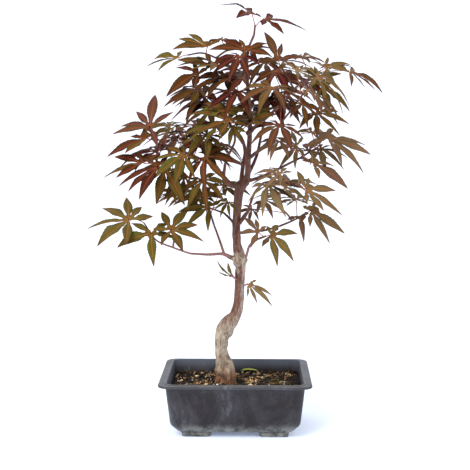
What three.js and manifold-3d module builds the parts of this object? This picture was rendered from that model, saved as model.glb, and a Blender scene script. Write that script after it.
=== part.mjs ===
// A young Japanese maple grown as a bonsai, in a black plastic training pot.
// Millimetres, +Z up. The front of the pot faces -Y. The group is moved at the end so that the origin is
// at the middle of the bounding box, on the surface that the pot stands on.
import * as THREE from "three";
import { mergeVertices } from "three/addons/utils/BufferGeometryUtils.js";
import Module from "manifold-3d";

const wasm = await Module();
wasm.setup();

// Pot: sizes over all, then the tub under the lip
const POT_HEIGHT = 56;
const FOOT_HEIGHT = 5.4;
const LIP_HALF = [75.9, 55.2];
const LIP_DROP = 3.4;
const LIP_PLATE = 1.7;
const LIP_CORNER = 10;
const LIP_TAPER = 0.5;
const TUB_TOP_HALF = [69.2, 52.4];
const TUB_LOW_HALF = [64.6, 48];
const TUB_FOOT_HALF = [57.5, 42];
const TUB_LOW_HEIGHT = 12.8;
const TUB_CORNER = 10;
const TUB_FOOT_CORNER = 8;
const WALL = 1.8;
const FLOOR_TOP = 7.6;
const FLOOR_SLOPE = 4;
const CAVITY_LOW = 14.8;
const CAVITY_CORNER = 8.2;
const CORNER_STEPS = 3;
const FOOT_SIZE = [29.5, 21];
const FOOT_MIDDLE = [38.5, 30];
const FOOT_CORNER = 4;
const DRAIN_RADIUS = 4.5;
const DRAIN_SIDES = 8;
const DRAIN_PLACES = [[-36, 11], [0, 11], [36, 11], [-36, -11], [0, -11], [36, -11]];
const OVERLAP = 1;

// Soil: its level, its crumbs and the mound at the trunk, and the gap that all touching pieces keep
const SOIL_TOP = 43.6;
const CRUMB_HEIGHT = 0.75;
const MOUND_HEIGHT = 2.2;
const MOUND_MIDDLE = -10;
const MOUND_SPREAD = 500;
const SOIL_RINGS = 4;
const CHIP_COUNT = 10;
const CHIP_LENGTH = [4, 9];
const CHIP_WIDTH = [2.5, 4.5];
const CHIP_THICKNESS = 2.4;
const CHIP_TILT = 0.25;
const CHIP_MARGIN = 9;
const GAP = 0.35;

// Corners closer than these, or this near to a straight edge, become one, in three goes
const SMALLEST_EDGES = [0.02, 0.04, 0.06];

// Stems: sides of the trunk, a limb and a twig, and the trunk's rings
const TRUNK_SIDES = 9;
const TRUNK_STEPS = 28;
const LIMB_SIDES = 5;
const TWIG_SIDES = 4;
const TWIG_RADIUS = 1.1;
const TWIG_TAPER = 0.12;

// Leaves: a full middle lobe, the blade's thickness, and how far lobe tips bow back and hang
const LOBE_LENGTH = 38;
const BLADE_THICKNESS = 0.95;
const STALK_HALF = 0.7;
const STALK_ROOT_HALF = 0.56;
const STALK_SPACING = 2.4;
const TWIG_MARKS = 14;
const BOW_BACK = 0.17;
const HANG = 0.16;
const DROOP = [0.75, 1.35];

// Fillers: ranges their seeded draws fall in
const FILLER_ALONG = [0.35, 0.95];
const FILLER_REACH = [13, 22];
const FILLER_RISE = [0.05, 0.35];
const FILLER_TURN = [0.382, 0.25];
const FILLER_HEADING = [262, 278];
const FILLER_LEAN = [52, 76];
const FILLER_SIZE = [0.8, 1.1];

// Fallen lobe: its middle behind the trunk, its outline and how much it arches
const FALLEN_MIDDLE = [13.5, 43, 46.5];
const FALLEN_OUTLINE = [[-9, 0], [-3, -3], [3, -2.6], [9.5, 0.6], [3, 2.8], [-3, 2.6]];
const FALLEN_ARCH = 0.018;
const FALLEN_THICKNESS = 0.7;

// The front view: the eye's place, how far it is turned left and dipped in degrees, and the point of the
// trunk's plane that it looks at. Places along the plant are [across, depth, height] as seen from it, so
// that a leaf moved in depth keeps its place in the front view.
const EYE = new THREE.Vector3(18.4, -924, 303.8);
const EYE_REACH = 922;
const EYE_TURN = 1.2;
const EYE_DIP = 6.6;
const VIEW_MIDDLE = [-1, 188];

const turn = THREE.MathUtils.degToRad(EYE_TURN);
const dip = THREE.MathUtils.degToRad(EYE_DIP);
const level = Math.cos(dip);
const ahead = new THREE.Vector3(-Math.sin(turn) * level, Math.cos(turn) * level, -Math.sin(dip));
const rightward = new THREE.Vector3(Math.cos(turn), Math.sin(turn), 0);
const upward = rightward.clone().cross(ahead);

function seen([across, depth, height]) {
  const ray = ahead.clone().multiplyScalar(EYE_REACH);
  ray.addScaledVector(rightward, across - VIEW_MIDDLE[0]);
  ray.addScaledVector(upward, height - VIEW_MIDDLE[1]);
  return EYE.clone().addScaledVector(ray, (depth - EYE.y) / ray.y);
}

// A repeatable number from 0 to 1.
function chance(number, draw) {
  const wave = Math.sin(number * 12.9898 + draw * 78.233) * 43758.5453;
  return wave - Math.floor(wave);
}

const between = ([low, high], share) => low + (high - low) * share;

// Solids from lists of corners and triangles
function solidFrom(corners, triangles) {
  const geometry = new THREE.BufferGeometry().setFromPoints(corners);
  geometry.setIndex(triangles.flat());
  return solidOf(geometry);
}

function solidOf(geometry) {
  const bare = geometry.index ? geometry.clone() : geometry;
  bare.deleteAttribute("normal");
  bare.deleteAttribute("uv");
  const merged = mergeVertices(bare, 1e-4);
  return new wasm.Manifold(
    new wasm.Mesh({
      numProp: 3,
      vertProperties: merged.attributes.position.array,
      triVerts: new Uint32Array(merged.index.array),
    }),
  );
}

function join(solids) {
  return solids.reduce((whole, solid) => whole.add(solid));
}

// The largest body of a solid, without loose scraps.
function mainBody(solid) {
  const bodies = solid.decompose();
  return bodies.reduce((best, body) => (body.volume() > best.volume() ? body : best));
}

function meshOf(name, solid, material) {
  const tidy = SMALLEST_EDGES.reduce((whole, edge) => whole.asOriginal().simplify(edge), solid);
  const { vertProperties, triVerts } = tidy.getMesh();
  const geometry = new THREE.BufferGeometry();
  geometry.setAttribute("position", new THREE.BufferAttribute(new Float32Array(vertProperties), 3));
  geometry.setIndex(new THREE.BufferAttribute(new Uint32Array(triVerts), 1));
  geometry.computeVertexNormals();
  const mesh = new THREE.Mesh(geometry, material);
  mesh.name = name;
  return mesh;
}

function finish(color, roughness) {
  return new THREE.MeshStandardMaterial({ color, roughness, metalness: 0 });
}

// A closed skin over a row of rings that have the same number of points, lowest or first ring first.
function loft(rings) {
  const count = rings[0].length;
  const triangles = [];
  for (let level = 0; level + 1 < rings.length; level++) {
    for (let i = 0; i < count; i++) {
      const a = level * count + i;
      const b = level * count + ((i + 1) % count);
      triangles.push([a, b, b + count], [a, b + count, a + count]);
    }
  }
  const last = (rings.length - 1) * count;
  for (let i = 1; i + 1 < count; i++) {
    triangles.push([0, i + 1, i], [last, last + i, last + i + 1]);
  }
  return solidFrom(rings.flat(), triangles);
}

// A level rectangle with rounded corners, counterclockwise from above.
function roundedRing(z, [halfX, halfY], radius, middle = [0, 0]) {
  const corners = [[1, 1, 0], [-1, 1, 90], [-1, -1, 180], [1, -1, 270]];
  const ring = [];
  for (const [sideX, sideY, start] of corners) {
    for (let step = 0; step <= CORNER_STEPS; step++) {
      const angle = THREE.MathUtils.degToRad(start + (90 * step) / CORNER_STEPS);
      const x = middle[0] + sideX * (halfX - radius) + radius * Math.cos(angle);
      const y = middle[1] + sideY * (halfY - radius) + radius * Math.sin(angle);
      ring.push(new THREE.Vector3(x, y, z));
    }
  }
  return ring;
}

const inset = ([halfX, halfY], by) => [halfX - by, halfY - by];

// Half length and half depth inside the tub at a height: a slope up from the floor, then the walls.
function cavityHalf(z) {
  const low = inset(TUB_LOW_HALF, WALL);
  const top = inset(TUB_TOP_HALF, WALL);
  if (z < CAVITY_LOW) {
    return inset(low, (FLOOR_SLOPE * (CAVITY_LOW - z)) / (CAVITY_LOW - FLOOR_TOP));
  }
  const share = (z - CAVITY_LOW) / (POT_HEIGHT - CAVITY_LOW);
  return [THREE.MathUtils.lerp(low[0], top[0], share), THREE.MathUtils.lerp(low[1], top[1], share)];
}

// Pot
function makePot() {
  const lipUnder = POT_HEIGHT - LIP_DROP;
  const plateUnder = POT_HEIGHT - LIP_PLATE;
  const tub = loft([
    roundedRing(FOOT_HEIGHT, TUB_FOOT_HALF, TUB_FOOT_CORNER),
    roundedRing(TUB_LOW_HEIGHT, TUB_LOW_HALF, TUB_CORNER),
    roundedRing(POT_HEIGHT, TUB_TOP_HALF, TUB_CORNER),
  ]);
  const lip = loft([
    roundedRing(lipUnder, LIP_HALF, LIP_CORNER),
    roundedRing(POT_HEIGHT, inset(LIP_HALF, LIP_TAPER), LIP_CORNER),
  ]);
  const underLip = loft([
    roundedRing(lipUnder - OVERLAP, inset(LIP_HALF, WALL), LIP_CORNER - WALL),
    roundedRing(plateUnder, inset(LIP_HALF, WALL), LIP_CORNER - WALL),
  ]);
  const feet = [];
  for (const x of [-FOOT_MIDDLE[0], FOOT_MIDDLE[0]]) {
    for (const y of [-FOOT_MIDDLE[1], FOOT_MIDDLE[1]]) {
      const half = [FOOT_SIZE[0] / 2, FOOT_SIZE[1] / 2];
      const top = roundedRing(FOOT_HEIGHT + OVERLAP, inset(half, -OVERLAP), FOOT_CORNER, [x, y]);
      feet.push(loft([roundedRing(0, half, FOOT_CORNER, [x, y]), top]));
    }
  }
  const levels = [FLOOR_TOP, CAVITY_LOW, POT_HEIGHT + OVERLAP];
  const cavity = loft(levels.map((z) => roundedRing(z, cavityHalf(z), CAVITY_CORNER)));
  let pot = join([lip.subtract(underLip), tub, ...feet]).subtract(cavity);
  for (const [x, y] of DRAIN_PLACES) {
    const drain = new THREE.CylinderGeometry(DRAIN_RADIUS, DRAIN_RADIUS, POT_HEIGHT / 2, DRAIN_SIDES);
    drain.rotateX(Math.PI / 2);
    drain.translate(x, y, 0);
    pot = pot.subtract(solidOf(drain));
  }
  return pot;
}

// A round stem along points [across, depth, height, radius]. Grow makes it fatter and longer.
function stem(points, sides, steps, grow = 0) {
  const curve = new THREE.CatmullRomCurve3(points.map(seen));
  const frames = curve.computeFrenetFrames(steps, false);
  const rings = [];
  for (let step = 0; step <= steps; step++) {
    const along = curve.getUtoTmapping(step / steps);
    const place = curve.getPoint(along);
    const mark = Math.min(Math.floor(along * (points.length - 1)), points.length - 2);
    const part = along * (points.length - 1) - mark;
    const radius = THREE.MathUtils.lerp(points[mark][3], points[mark + 1][3], part) + grow;
    if (step === 0) {
      place.addScaledVector(frames.tangents[step], -grow);
    }
    if (step === steps) {
      place.addScaledVector(frames.tangents[step], grow);
    }
    const ring = [];
    for (let i = 0; i < sides; i++) {
      const angle = (2 * Math.PI * i) / sides;
      const spoke = frames.normals[step].clone().multiplyScalar(Math.cos(angle));
      spoke.addScaledVector(frames.binormals[step], Math.sin(angle));
      ring.push(place.clone().addScaledVector(spoke, radius));
    }
    rings.push(ring);
  }
  return loft(rings);
}

// Trunk: from its flared foot in the soil, through the knee and the two joints, up to the top shoot
const TRUNK = [
  [-10.5, 0, 31, 10.2], [-10.5, 0, 44, 11], [-10.8, 0, 54, 9.9], [-13.6, -1, 66, 7.2], [-15, -2, 76, 6.1],
  [-14.3, -3, 85, 7], [-11, -2, 94, 8.8], [-5.2, -1, 102, 7.7], [-0.5, 0, 108, 6], [2.5, 0, 120, 5.2],
  [3.6, 0, 139, 5], [4.6, 0, 156, 5.3], [4, 0, 164, 6.3], [0.8, 0, 181, 4.3], [0.8, 0, 208, 4],
  [2.6, 0, 228, 4.5], [4.6, 0, 237, 5.4], [11, 0, 246, 3.2], [12, 0, 263, 2.8], [13.5, 2, 284, 2.5],
  [14, 5, 305, 2.2], [12.5, 6, 328, 2], [10.8, 4, 350, 1.7], [12.6, 1, 374, 1.4], [18, 0, 388, 1.2],
];

// Limbs that grow from it, each from its middle line to the end where a leafy spray takes over
const LIMBS = {
  secondStem: [
    [5, 1, 238, 2.4], [7, 8, 258, 2.1], [9.2, 13, 271, 1.9], [5.5, 17, 285, 1.7], [1, 20, 291, 1.5],
  ],
  leftBough: [
    [3.5, -1, 236, 3.2], [-6, -4, 239, 3], [-12.5, -8, 246, 2.4], [-20, -12, 255, 1.8],
    [-31, -15, 262, 1.5],
  ],
  frontTwig: [[-12.5, -8, 246, 1.7], [-10, -14, 262, 1.4], [-1, -24, 283, 1.2], [-4, -34, 295, 1.1]],
  rightLow: [[0.8, -1, 196, 1.8], [10.5, -8, 209, 1.5], [18.5, -16, 230, 1.3], [27, -22, 240, 1.1]],
  rightBack: [[0.8, 1, 190, 1.8], [14, 9, 191, 1.5], [30, 14, 193, 1.3], [44, 17, 197, 1.1]],
  rightBough: [
    [8, 0, 241, 2.2], [22, 2, 245, 1.8], [38, 4, 252, 1.5], [54, 6, 260, 1.3], [64, 7, 265, 1.2],
  ],
  risingBack: [[11.5, 1, 247, 2], [20.6, 10, 267, 1.6], [25, 20, 287, 1.4], [29, 30, 305, 1.2]],
  risingFront: [
    [12, -1, 264, 2], [22, -8, 272, 1.7], [34, -16, 283, 1.4], [45, -24, 300, 1.2], [53, -28, 310, 1.1],
  ],
  upperRight: [
    [13.8, 2, 290, 2], [22, 4, 299, 1.9], [30, 6, 305, 1.7], [41, 9, 315, 1.5], [50, 10, 323, 1.3],
  ],
  upperLeft: [[11, 4, 347, 1.5], [2, 6, 353, 1.3], [-8, 8, 358, 1.1]],
  midLeft: [[12.8, 6, 322, 1.7], [2, 2, 328, 1.4], [-8, -4, 331, 1.2]],
  backLeft: [[7, 8, 258, 1.8], [-8, 24, 266, 1.5], [-24, 38, 271, 1.2]],
  collarRight: [[4, -1, 160, 2.6], [9, -6, 164, 1.5], [14, -12, 178, 1.3], [22, -17, 184, 1.1]],
  collarLeft: [
    [4, 0, 162, 2.8], [-6, -3, 166, 2.4], [-13, -5, 169, 1.7], [-28, -9, 168.5, 1.4],
    [-46, -12, 169.5, 1.2],
  ],
  leftRiser: [[-12, -4, 169.5, 1.5], [-16.5, -2, 183, 1.3], [-22, 2, 198, 1.1]],
  leftBack: [[0.8, 1, 194, 1.8], [-4, 11, 202, 1.5], [-12, 24, 210, 1.2]],
};

function makeTrunk(grow = 0) {
  const limbs = Object.values(LIMBS).map((points) => {
    return stem(points, LIMB_SIDES, points.length - 1, grow);
  });
  return join([stem(TRUNK, TRUNK_SIDES, TRUNK_STEPS, grow), ...limbs]);
}

// Leafy sprays. Twigs are [across, depth, height] with the first on the limb's end. A leaf is
// [across, depth, height, heading, lean, roll, size]: the heading of its middle lobe in the front view,
// how far its face leans up to the sky, its roll in the front view, and its size against a full leaf.
// A leaf that stands out is traced: [across, depth, height, lean, [the tips of its lobes]].
// Fillers are drawn at seeded places along the twigs.
const SPRAYS = {
  crown: {
    twigs: [[[18, 0, 388], [18.6, 0, 393], [19, 0, 398]]],
    traced: [
      [16, -2, 409, 1, [[-16, -4.5, -22], [-34, 13], [-6, 6, 18], [10, -3, 10]]],
      [29, -3, 404.5, 1, [[8, 3, 16], [43, -13, 2], [19, -16, -12], [-3, -7, -12]]],
    ],
  },
  upperLeft: {
    twigs: [
      [[-8, 8, 358], [-20, 9, 365], [-34, 8, 370], [-48, 6, 368]],
      [[-20, 9, 365], [-10, 4, 372], [0, 0, 374]],
      [[-8, 8, 358], [-16, -8, 358], [-25, -20, 355]],
    ],
    traced: [
      [-29, -2, 376, 0.8, [[-35, -3], [-29, 8], [-19, 12.5], [16, 9]]],
      [-58, -4, 365, 0.8, [[-20, -13, -14], [-32, -9, 0], [-24, -1.5, 16], [4, 7, 16]]],
      [10, -14, 373, 0.9, [[-5, -13], [-37, 0], [-23, 9], [-7, 11], [22, 6], [24, -5]]],
      [-25, -19, 357, 0.9, [[-14, -10], [-34, 6], [-5, 13], [15, 7]]],
      [-37, -14, 351, 0.8, [[-6, -17], [-33, -25], [-24, 4], [-6, 8]]],
    ],
    leaves: [
      [14, -4, 373, 320, 66, -20, 0.7], [-20, -27.5, 358, 140, 74, 15, 1.05], [4, -8, 367, 250, 58, 0, 0.85],
      [-14, 2, 383, 60, 70, 0, 0.7],
    ],
  },
  midLeft: {
    twigs: [
      [[-8, -4, 331], [-20, -12, 334], [-32, -18, 331]], [[-8, -4, 331], [-4, -20, 338], [2, -34, 342]],
    ],
    leaves: [
      [-36, -26, 333, 170, 66, 0, 0.85], [-32, -36, 327, 190, 62, -20, 1], [8, -40, 346, 160, 68, 0, 1],
      [-23, -38, 319, 130, 68, 0, 1.05], [2, -50, 332, 250, 62, 0, 0.95],
      [-10, -30, 345, 200, 62, 0, 0.95],
    ],
  },
  upperRight: {
    twigs: [
      [[50, 10, 323], [58, 12, 334], [72, 12, 344], [84, 10, 352]],
      [[58, 12, 334], [50, 8, 348], [44, 4, 358]],
    ],
    traced: [
      [42, 2, 363, 0.5, [[-20, -2], [-14, 28], [4, 17], [18, 4]]],
      [90, 6, 356, 0.8, [[-14, 5], [2, 10], [25, 2, 10], [24, -6, -8], [2, -14, -14]]],
      [114, 10, 352, 0.8, [[4, 2, 16], [33, -23, 12], [26, -20, -4], [16, -18, -16], [1, -16, -22]]],
      [82, 10, 345, 0.8, [[-16, 2], [-4, 12], [24, 4], [14, -12], [-6, -14]]],
      [86, -4, 336, 0.8, [[-12, 8], [10, 6], [28, -25], [8, -25], [-6, -14]]],
    ],
    leaves: [
      [47, -4, 362, 20, 66, -12, 0.9], [40, -14, 352, 290, 55, 0, 0.9], [66, 8, 366, 60, 68, 0, 0.8],
      [29, -2, 361, 240, 60, 0, 0.85], [100, 16, 357, 100, 66, 0, 0.6],
    ],
  },
  rightFront: {
    twigs: [
      [[53, -28, 310], [60, -32, 320], [68, -34, 330]],
      [[60, -32, 320], [50, -38, 326], [40, -42, 330]],
    ],
    leaves: [
      [81, -36, 346, 20, 60, 30, 1.1], [71, -46, 333, 30, 74, 32, 1.1],
      [66, -48, 319, 295, 64, 25, 0.75], [36, -52, 336, 250, 60, 0, 1],
      [50, -56, 331, 340, 60, 10, 0.9], [24, -30, 350, 200, 66, 0, 0.9],
      [60, -30, 353, 40, 66, 10, 0.95], [44, -30, 298, 250, 58, 0, 0.9],
      [80, -26, 310, 310, 60, 0, 0.9],
    ],
  },
  backCrown: {
    twigs: [[[29, 30, 305], [26, 42, 322], [18, 50, 338]], [[26, 42, 322], [44, 54, 330], [60, 62, 334]]],
    leaves: [
      [12, 54, 348, 150, 66, 10, 1], [40, 62, 347, 60, 62, 0, 1], [68, 68, 341, 20, 66, 15, 1],
      [19, 39, 318.5, 240, 62, 0, 0.85],
    ],
    fillers: 3,
  },
  middle: {
    twigs: [[[-4, -34, 295], [-6, -42, 300], [-9, -50, 303]]],
    leaves: [
      [-7, -58, 302, 140, 50, 25, 1.15], [14, -50, 300, 60, 68, -40, 1], [-4, -62, 297, 262, 30, 0, 0.5],
      [-19, -48, 296, 165, 70, -5, 0.95], [-14, -52, 312, 100, 60, 0, 0.9],
      [-28, -40, 288, 230, 60, 0, 0.8],
    ],
  },
  left: {
    twigs: [
      [[-31, -15, 262], [-48, -19, 270], [-66, -22, 276], [-80, -24, 285]],
      [[-48, -19, 270], [-62, -26, 264], [-76, -32, 259]],
      [[-31, -15, 262], [-30, -28, 258], [-31, -40, 252]],
    ],
    traced: [
      [-86, -30, 296, 0.7, [[8, -21], [-38, -7.5, -12], [-29.5, 0.5, 8], [-14, 15.5], [5, 32], [24, 15]]],
      [-89, -38, 284.5, 0.8, [[-22, -15, -16], [-40, -18.5], [-17, 1.5], [8, 6]]],
      [-93, -44, 260, 0.8, [[-27, -15, -16], [-41, -16, -2], [-29, 6], [-6, 11], [15, 8]]],
      [-78, -50, 256, 0.8, [[-19, -33], [-30, -25], [-40, -20], [-14, 8], [10, 10]]],
      [-71, -46, 255, 0.5, [[25, -10], [20, -38], [-9, -37], [-24, -2]]],
    ],
    leaves: [
      [-78, -30, 272, 150, 68, 0, 1.1], [-53, -10, 290, 110, 70, 0, 0.75],
      [-62, -40, 231, 200, 50, 0, 0.45],
      [-32, -46, 266, 300, 48, -20, 0.95], [-33, -54, 243, 265, 42, -15, 0.8],
      [-52, -30, 283, 60, 62, 0, 0.9], [-52, -46, 268, 215, 50, 0, 0.95],
      [-66, -14, 297, 140, 64, 0, 0.9], [-36, -22, 281, 250, 60, 0, 0.85],
      [-52, -34, 246, 230, 50, 0, 0.75], [-28, -24, 268, 20, 60, 0, 0.75],
    ],
  },
  backLeft: {
    twigs: [[[-24, 38, 271], [-40, 48, 277], [-58, 56, 281]], [[-40, 48, 277], [-46, 64, 288]]],
    leaves: [[-62, 60, 290, 150, 66, 0, 1], [-40, 41.5, 297.5, 110, 62, 0, 0.9]],
    fillers: 3,
  },
  secondTop: {
    twigs: [[[1, 20, 291], [-10, 22, 304], [-22, 22, 316], [-32, 20, 324]]],
    leaves: [
      [-38, 16, 331, 150, 68, 0, 1], [-26, 10, 312, 190, 62, -15, 0.95], [-8, 16, 320, 90, 62, 0, 0.85],
    ],
  },
  right: {
    twigs: [[[64, 7, 265], [72, 6, 270], [82, 4, 276]], [[64, 7, 265], [70, -8, 264], [76, -20, 262]]],
    traced: [
      [92, -10, 285, 0.6, [
        [-24, -9], [2, 10, 14], [39, -8, 10], [43, -17, -2], [36, -36, -10], [14, -28, -20],
      ]],
      [77, -30, 260, 0.8, [[-12, 3], [-2, 12], [22, -4, 8], [35, -26, -4], [6, -16, -14]]],
    ],
    leaves: [
      [61, -8, 277, 185, 20, 0, 0.72], [72, 18, 272, 60, 62, 0, 0.8], [44, 0, 285, 200, 62, 0, 0.9],
      [76, 10, 290, 60, 66, 0, 0.8], [84, -8, 274, 320, 60, 0, 0.8], [43, -10, 282, 250, 64, 0, 0.7],
    ],
  },
  rightLow: {
    twigs: [[[27, -22, 240], [38, -28, 242], [52, -34, 240], [64, -38, 236]]],
    traced: [[70, -46, 234, 0.6, [[-9, 18], [3, 11], [30, -2], [37, -27], [18, -22], [1, -14]]]],
    leaves: [
      [46, -42, 237.5, 90, 60, 28, 1.05], [44, -34, 249, 150, 62, 0, 0.8], [66, -34, 240, 100, 62, 0, 0.6],
      [32, -30, 238, 300, 58, 0, 0.9],
    ],
  },
  rightBack: {
    twigs: [[[44, 17, 197], [56, 18, 202], [68, 16, 208]], [[56, 18, 202], [52, 34, 208], [46, 48, 214]]],
    traced: [
      [75, 8, 212, 0.7, [[-8, 5], [5.5, 11], [34, -23], [19, -33], [-1, -16]]],
      [64, 4, 207, 1, [[9, 3], [4, -27], [-13, -4]]],
    ],
    leaves: [
      [60, 24, 223, 100, 66, 0, 0.75], [44, 56, 229, 120, 68, 0, 0.9], [28, 22, 223, 330, 64, 0, 0.75],
      [16, 14, 214, 220, 50, 0, 0.5],
    ],
  },
  lowRight: {
    twigs: [[[22, -17, 184], [30, -20, 187]]],
    traced: [
      [22.5, -28, 191, 0.9, [[-8, -16], [-18.5, -1], [-16, 15], [-3, 13], [8, 6]]],
      [35, -26, 188, 0.8, [[-4, 9], [7, 10], [27, 1], [23, -27], [6.5, -32], [-9, -12]]],
    ],
  },
  lowLeft: {
    twigs: [
      [[-46, -12, 169.5], [-63, -14, 175.5], [-80, -16, 183], [-92, -18, 200]],
      [[-63, -14, 175.5], [-62, -22, 184], [-62, -28, 189]],
    ],
    traced: [
      [-107, -26, 203, 1.1, [
        [-3.5, -25], [-32, -27], [-42.5, -9.5], [-27.5, 11.5], [-2.5, 22.5], [13, 13], [24, 3.5],
      ]],
      [-85, -32, 190, 0.8, [[17, 9], [25, -6], [3, -34], [-34, -15], [-20, 9.5]]],
      [-65, -38, 193, 0.8, [[-18, 1], [-9.5, 18], [17, 19], [27, 5], [33, -12], [12, -22], [-10, -16]]],
    ],
  },
  leftRiser: {
    twigs: [[[-22, 2, 198], [-25, 0, 208], [-27, -4, 216]]],
    traced: [[-27, -12, 216, 0.8, [[-1, -25], [-23, -20], [-31, -5], [-12, 8], [12, 6]]]],
    leaves: [[-8, -8, 221, 240, 40, 0, 0.42], [-34, 6, 227, 150, 60, 0, 0.85], [-13, -2, 237, 40, 60, 0, 0.8]],
  },
  leftBack: {
    twigs: [[[-12, 24, 210], [-26, 32, 215], [-42, 42, 220]]],
    leaves: [[-52, 48, 228, 150, 68, 0, 0.85], [-32, 34, 226, 80, 66, 0, 0.8]],
  },
  trunkLeft: {
    twigs: [[[3.7, 0, 142], [-1.6, -5, 145], [-5, -7, 150]]],
    traced: [[-4, -9, 146, 0.5, [[-15, 6, 10], [-15, 17, 2], [-4, 15, -8]]]],
  },
  trunkRight: {
    twigs: [[[3.6, 0, 136], [9, -5, 138], [12, -8, 139]]],
    traced: [[12.5, -11, 139, 0.6, [[8, 4], [24, -12, 2], [24, -23], [9, -20], [-1, -13]]]],
  },
};

// One maple leaf flat in its own plane: each lobe's angle from the middle one and its length against it
const LOBES = [[-120, 0.48], [-80, 0.76], [-40, 0.94], [0, 1], [40, 0.94], [80, 0.76], [120, 0.48]];
const LOBE_HALF = 0.13;
const LOBE_ROOM = 0.85;
const SMALL_LOBE = 0.6;
const NOTCH = 0.17;
const SHOULDER = 0.44;
const STALK_NOTCH = 0.06;

// The leaf's own axes: side, along the middle lobe, and out of its upper face.
function leafAxes({ heading, lean, roll, turn: turned }) {
  const angle = THREE.MathUtils.degToRad(heading);
  const along = new THREE.Vector3(Math.cos(angle), 0, Math.sin(angle));
  const side = new THREE.Vector3(Math.sin(angle), 0, -Math.cos(angle));
  const face = new THREE.Vector3(0, -1, 0);
  const pose = new THREE.Matrix4().makeRotationZ(THREE.MathUtils.degToRad(turned));
  pose.multiply(new THREE.Matrix4().makeRotationY(THREE.MathUtils.degToRad(roll)));
  pose.multiply(new THREE.Matrix4().makeRotationX(-THREE.MathUtils.degToRad(lean)));
  return [side, along, face].map((axis) => axis.applyMatrix4(pose));
}

// The free point of the twigs that a leaf's stalk grows from: the nearest one with no other stalk by it.
function rootOf(leaf, twigCurves, taken) {
  const places = twigCurves.flatMap((curve) => curve.getPoints(TWIG_MARKS).slice(1));
  const free = places.filter((place) => taken.every((other) => other.distanceTo(place) > STALK_SPACING));
  const away = (place) => place.distanceTo(leaf.centre);
  return free.reduce((best, place) => (away(place) < away(best) ? place : best));
}

// A leaf by its pose: its axes and its lobes as straight arrows from the centre
function posedLeaf(centre, pose) {
  const [side, along, face] = leafAxes(pose);
  const long = LOBE_LENGTH * pose.size;
  const lobes = LOBES.map(([angle, length]) => {
    const radians = THREE.MathUtils.degToRad(angle);
    const lobe = side.clone().multiplyScalar(Math.sin(radians));
    return lobe.addScaledVector(along, Math.cos(radians)).multiplyScalar(length * long);
  });
  return { centre, side, along, face, long, lobes };
}

// A leaf by the tips that its lobes have in the front view, clockwise from its stalk. A tip is
// [across, rise] from the centre, and its depth unless the lean of the whole blade gives that.
function tracedLeaf([across, depth, height, lean, tips]) {
  const centre = seen([across, depth, height]);
  const lobes = tips.map(([over, rise, back = lean * rise]) => {
    return seen([across + over, depth + back, height + rise]).sub(centre);
  });
  const face = new THREE.Vector3();
  const along = new THREE.Vector3();
  lobes.forEach((lobe, i) => {
    along.add(lobe.clone().normalize());
    if (i > 0) {
      face.add(lobes[i].clone().cross(lobes[i - 1]));
    }
  });
  face.normalize();
  along.addScaledVector(face, -along.dot(face)).normalize();
  const long = Math.max(...lobes.map((lobe) => lobe.length()));
  return { centre, side: along.clone().cross(face), along, face, long, lobes, traced: true };
}

// The middle skin of a blade, its faces and the points round its edge. Lobes bow back and hang.
function bladeOf(leaf) {
  const { centre, side, along, face, long, lobes, traced } = leaf;
  const bow = face.clone().multiplyScalar(-BOW_BACK);
  bow.z -= HANG;
  bow.multiplyScalar(leaf.droop / long);
  const place = (offset) => centre.clone().add(offset).addScaledVector(bow, offset.lengthSq());
  const skin = [centre.clone()];
  const faces = [];
  const edge = [];
  const put = (offset) => {
    skin.push(place(offset));
    edge.push(skin.length - 1);
    return skin.length - 1;
  };
  const base = (sign) => {
    const offset = side.clone().multiplyScalar(sign * STALK_HALF);
    return put(offset.addScaledVector(along, -STALK_NOTCH * long));
  };
  const first = base(-1);
  let notch = first;
  // the tips that were traced are where they end up, so the bow is taken off their arrows
  const arrows = lobes.map((lobe) => {
    return traced ? lobe.clone().addScaledVector(bow, -lobe.lengthSq()) : lobe;
  });
  arrows.forEach((arrow, i) => {
    const length = arrow.length();
    const beside = [arrows[i - 1], arrows[i + 1]].filter(Boolean);
    const gap = Math.min(...beside.map((other) => arrow.angleTo(other)));
    const room = LOBE_ROOM * SHOULDER * length * Math.tan(gap / 2);
    const half = Math.min(LOBE_HALF * Math.sqrt(length * long), room);
    const across = arrow.clone().cross(face).normalize();
    const shoulder = (sign) => {
      return put(arrow.clone().multiplyScalar(SHOULDER).addScaledVector(across, sign * half));
    };
    const after = () => {
      if (i + 1 === arrows.length) {
        return base(1);
      }
      const between = arrow.clone().normalize().add(arrows[i + 1].clone().normalize());
      return put(between.normalize().multiplyScalar(NOTCH * long));
    };
    if (length < SMALL_LOBE * long) {
      const tip = put(arrow);
      const next = after();
      faces.push([0, notch, tip], [0, tip, next]);
      notch = next;
      return;
    }
    const left = shoulder(-1);
    const tip = put(arrow);
    const right = shoulder(1);
    const next = after();
    faces.push([0, notch, next], [notch, left, next], [left, right, next], [left, tip, right]);
    notch = next;
  });
  faces.push([0, notch, first]);
  return { skin, faces, edge };
}

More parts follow.
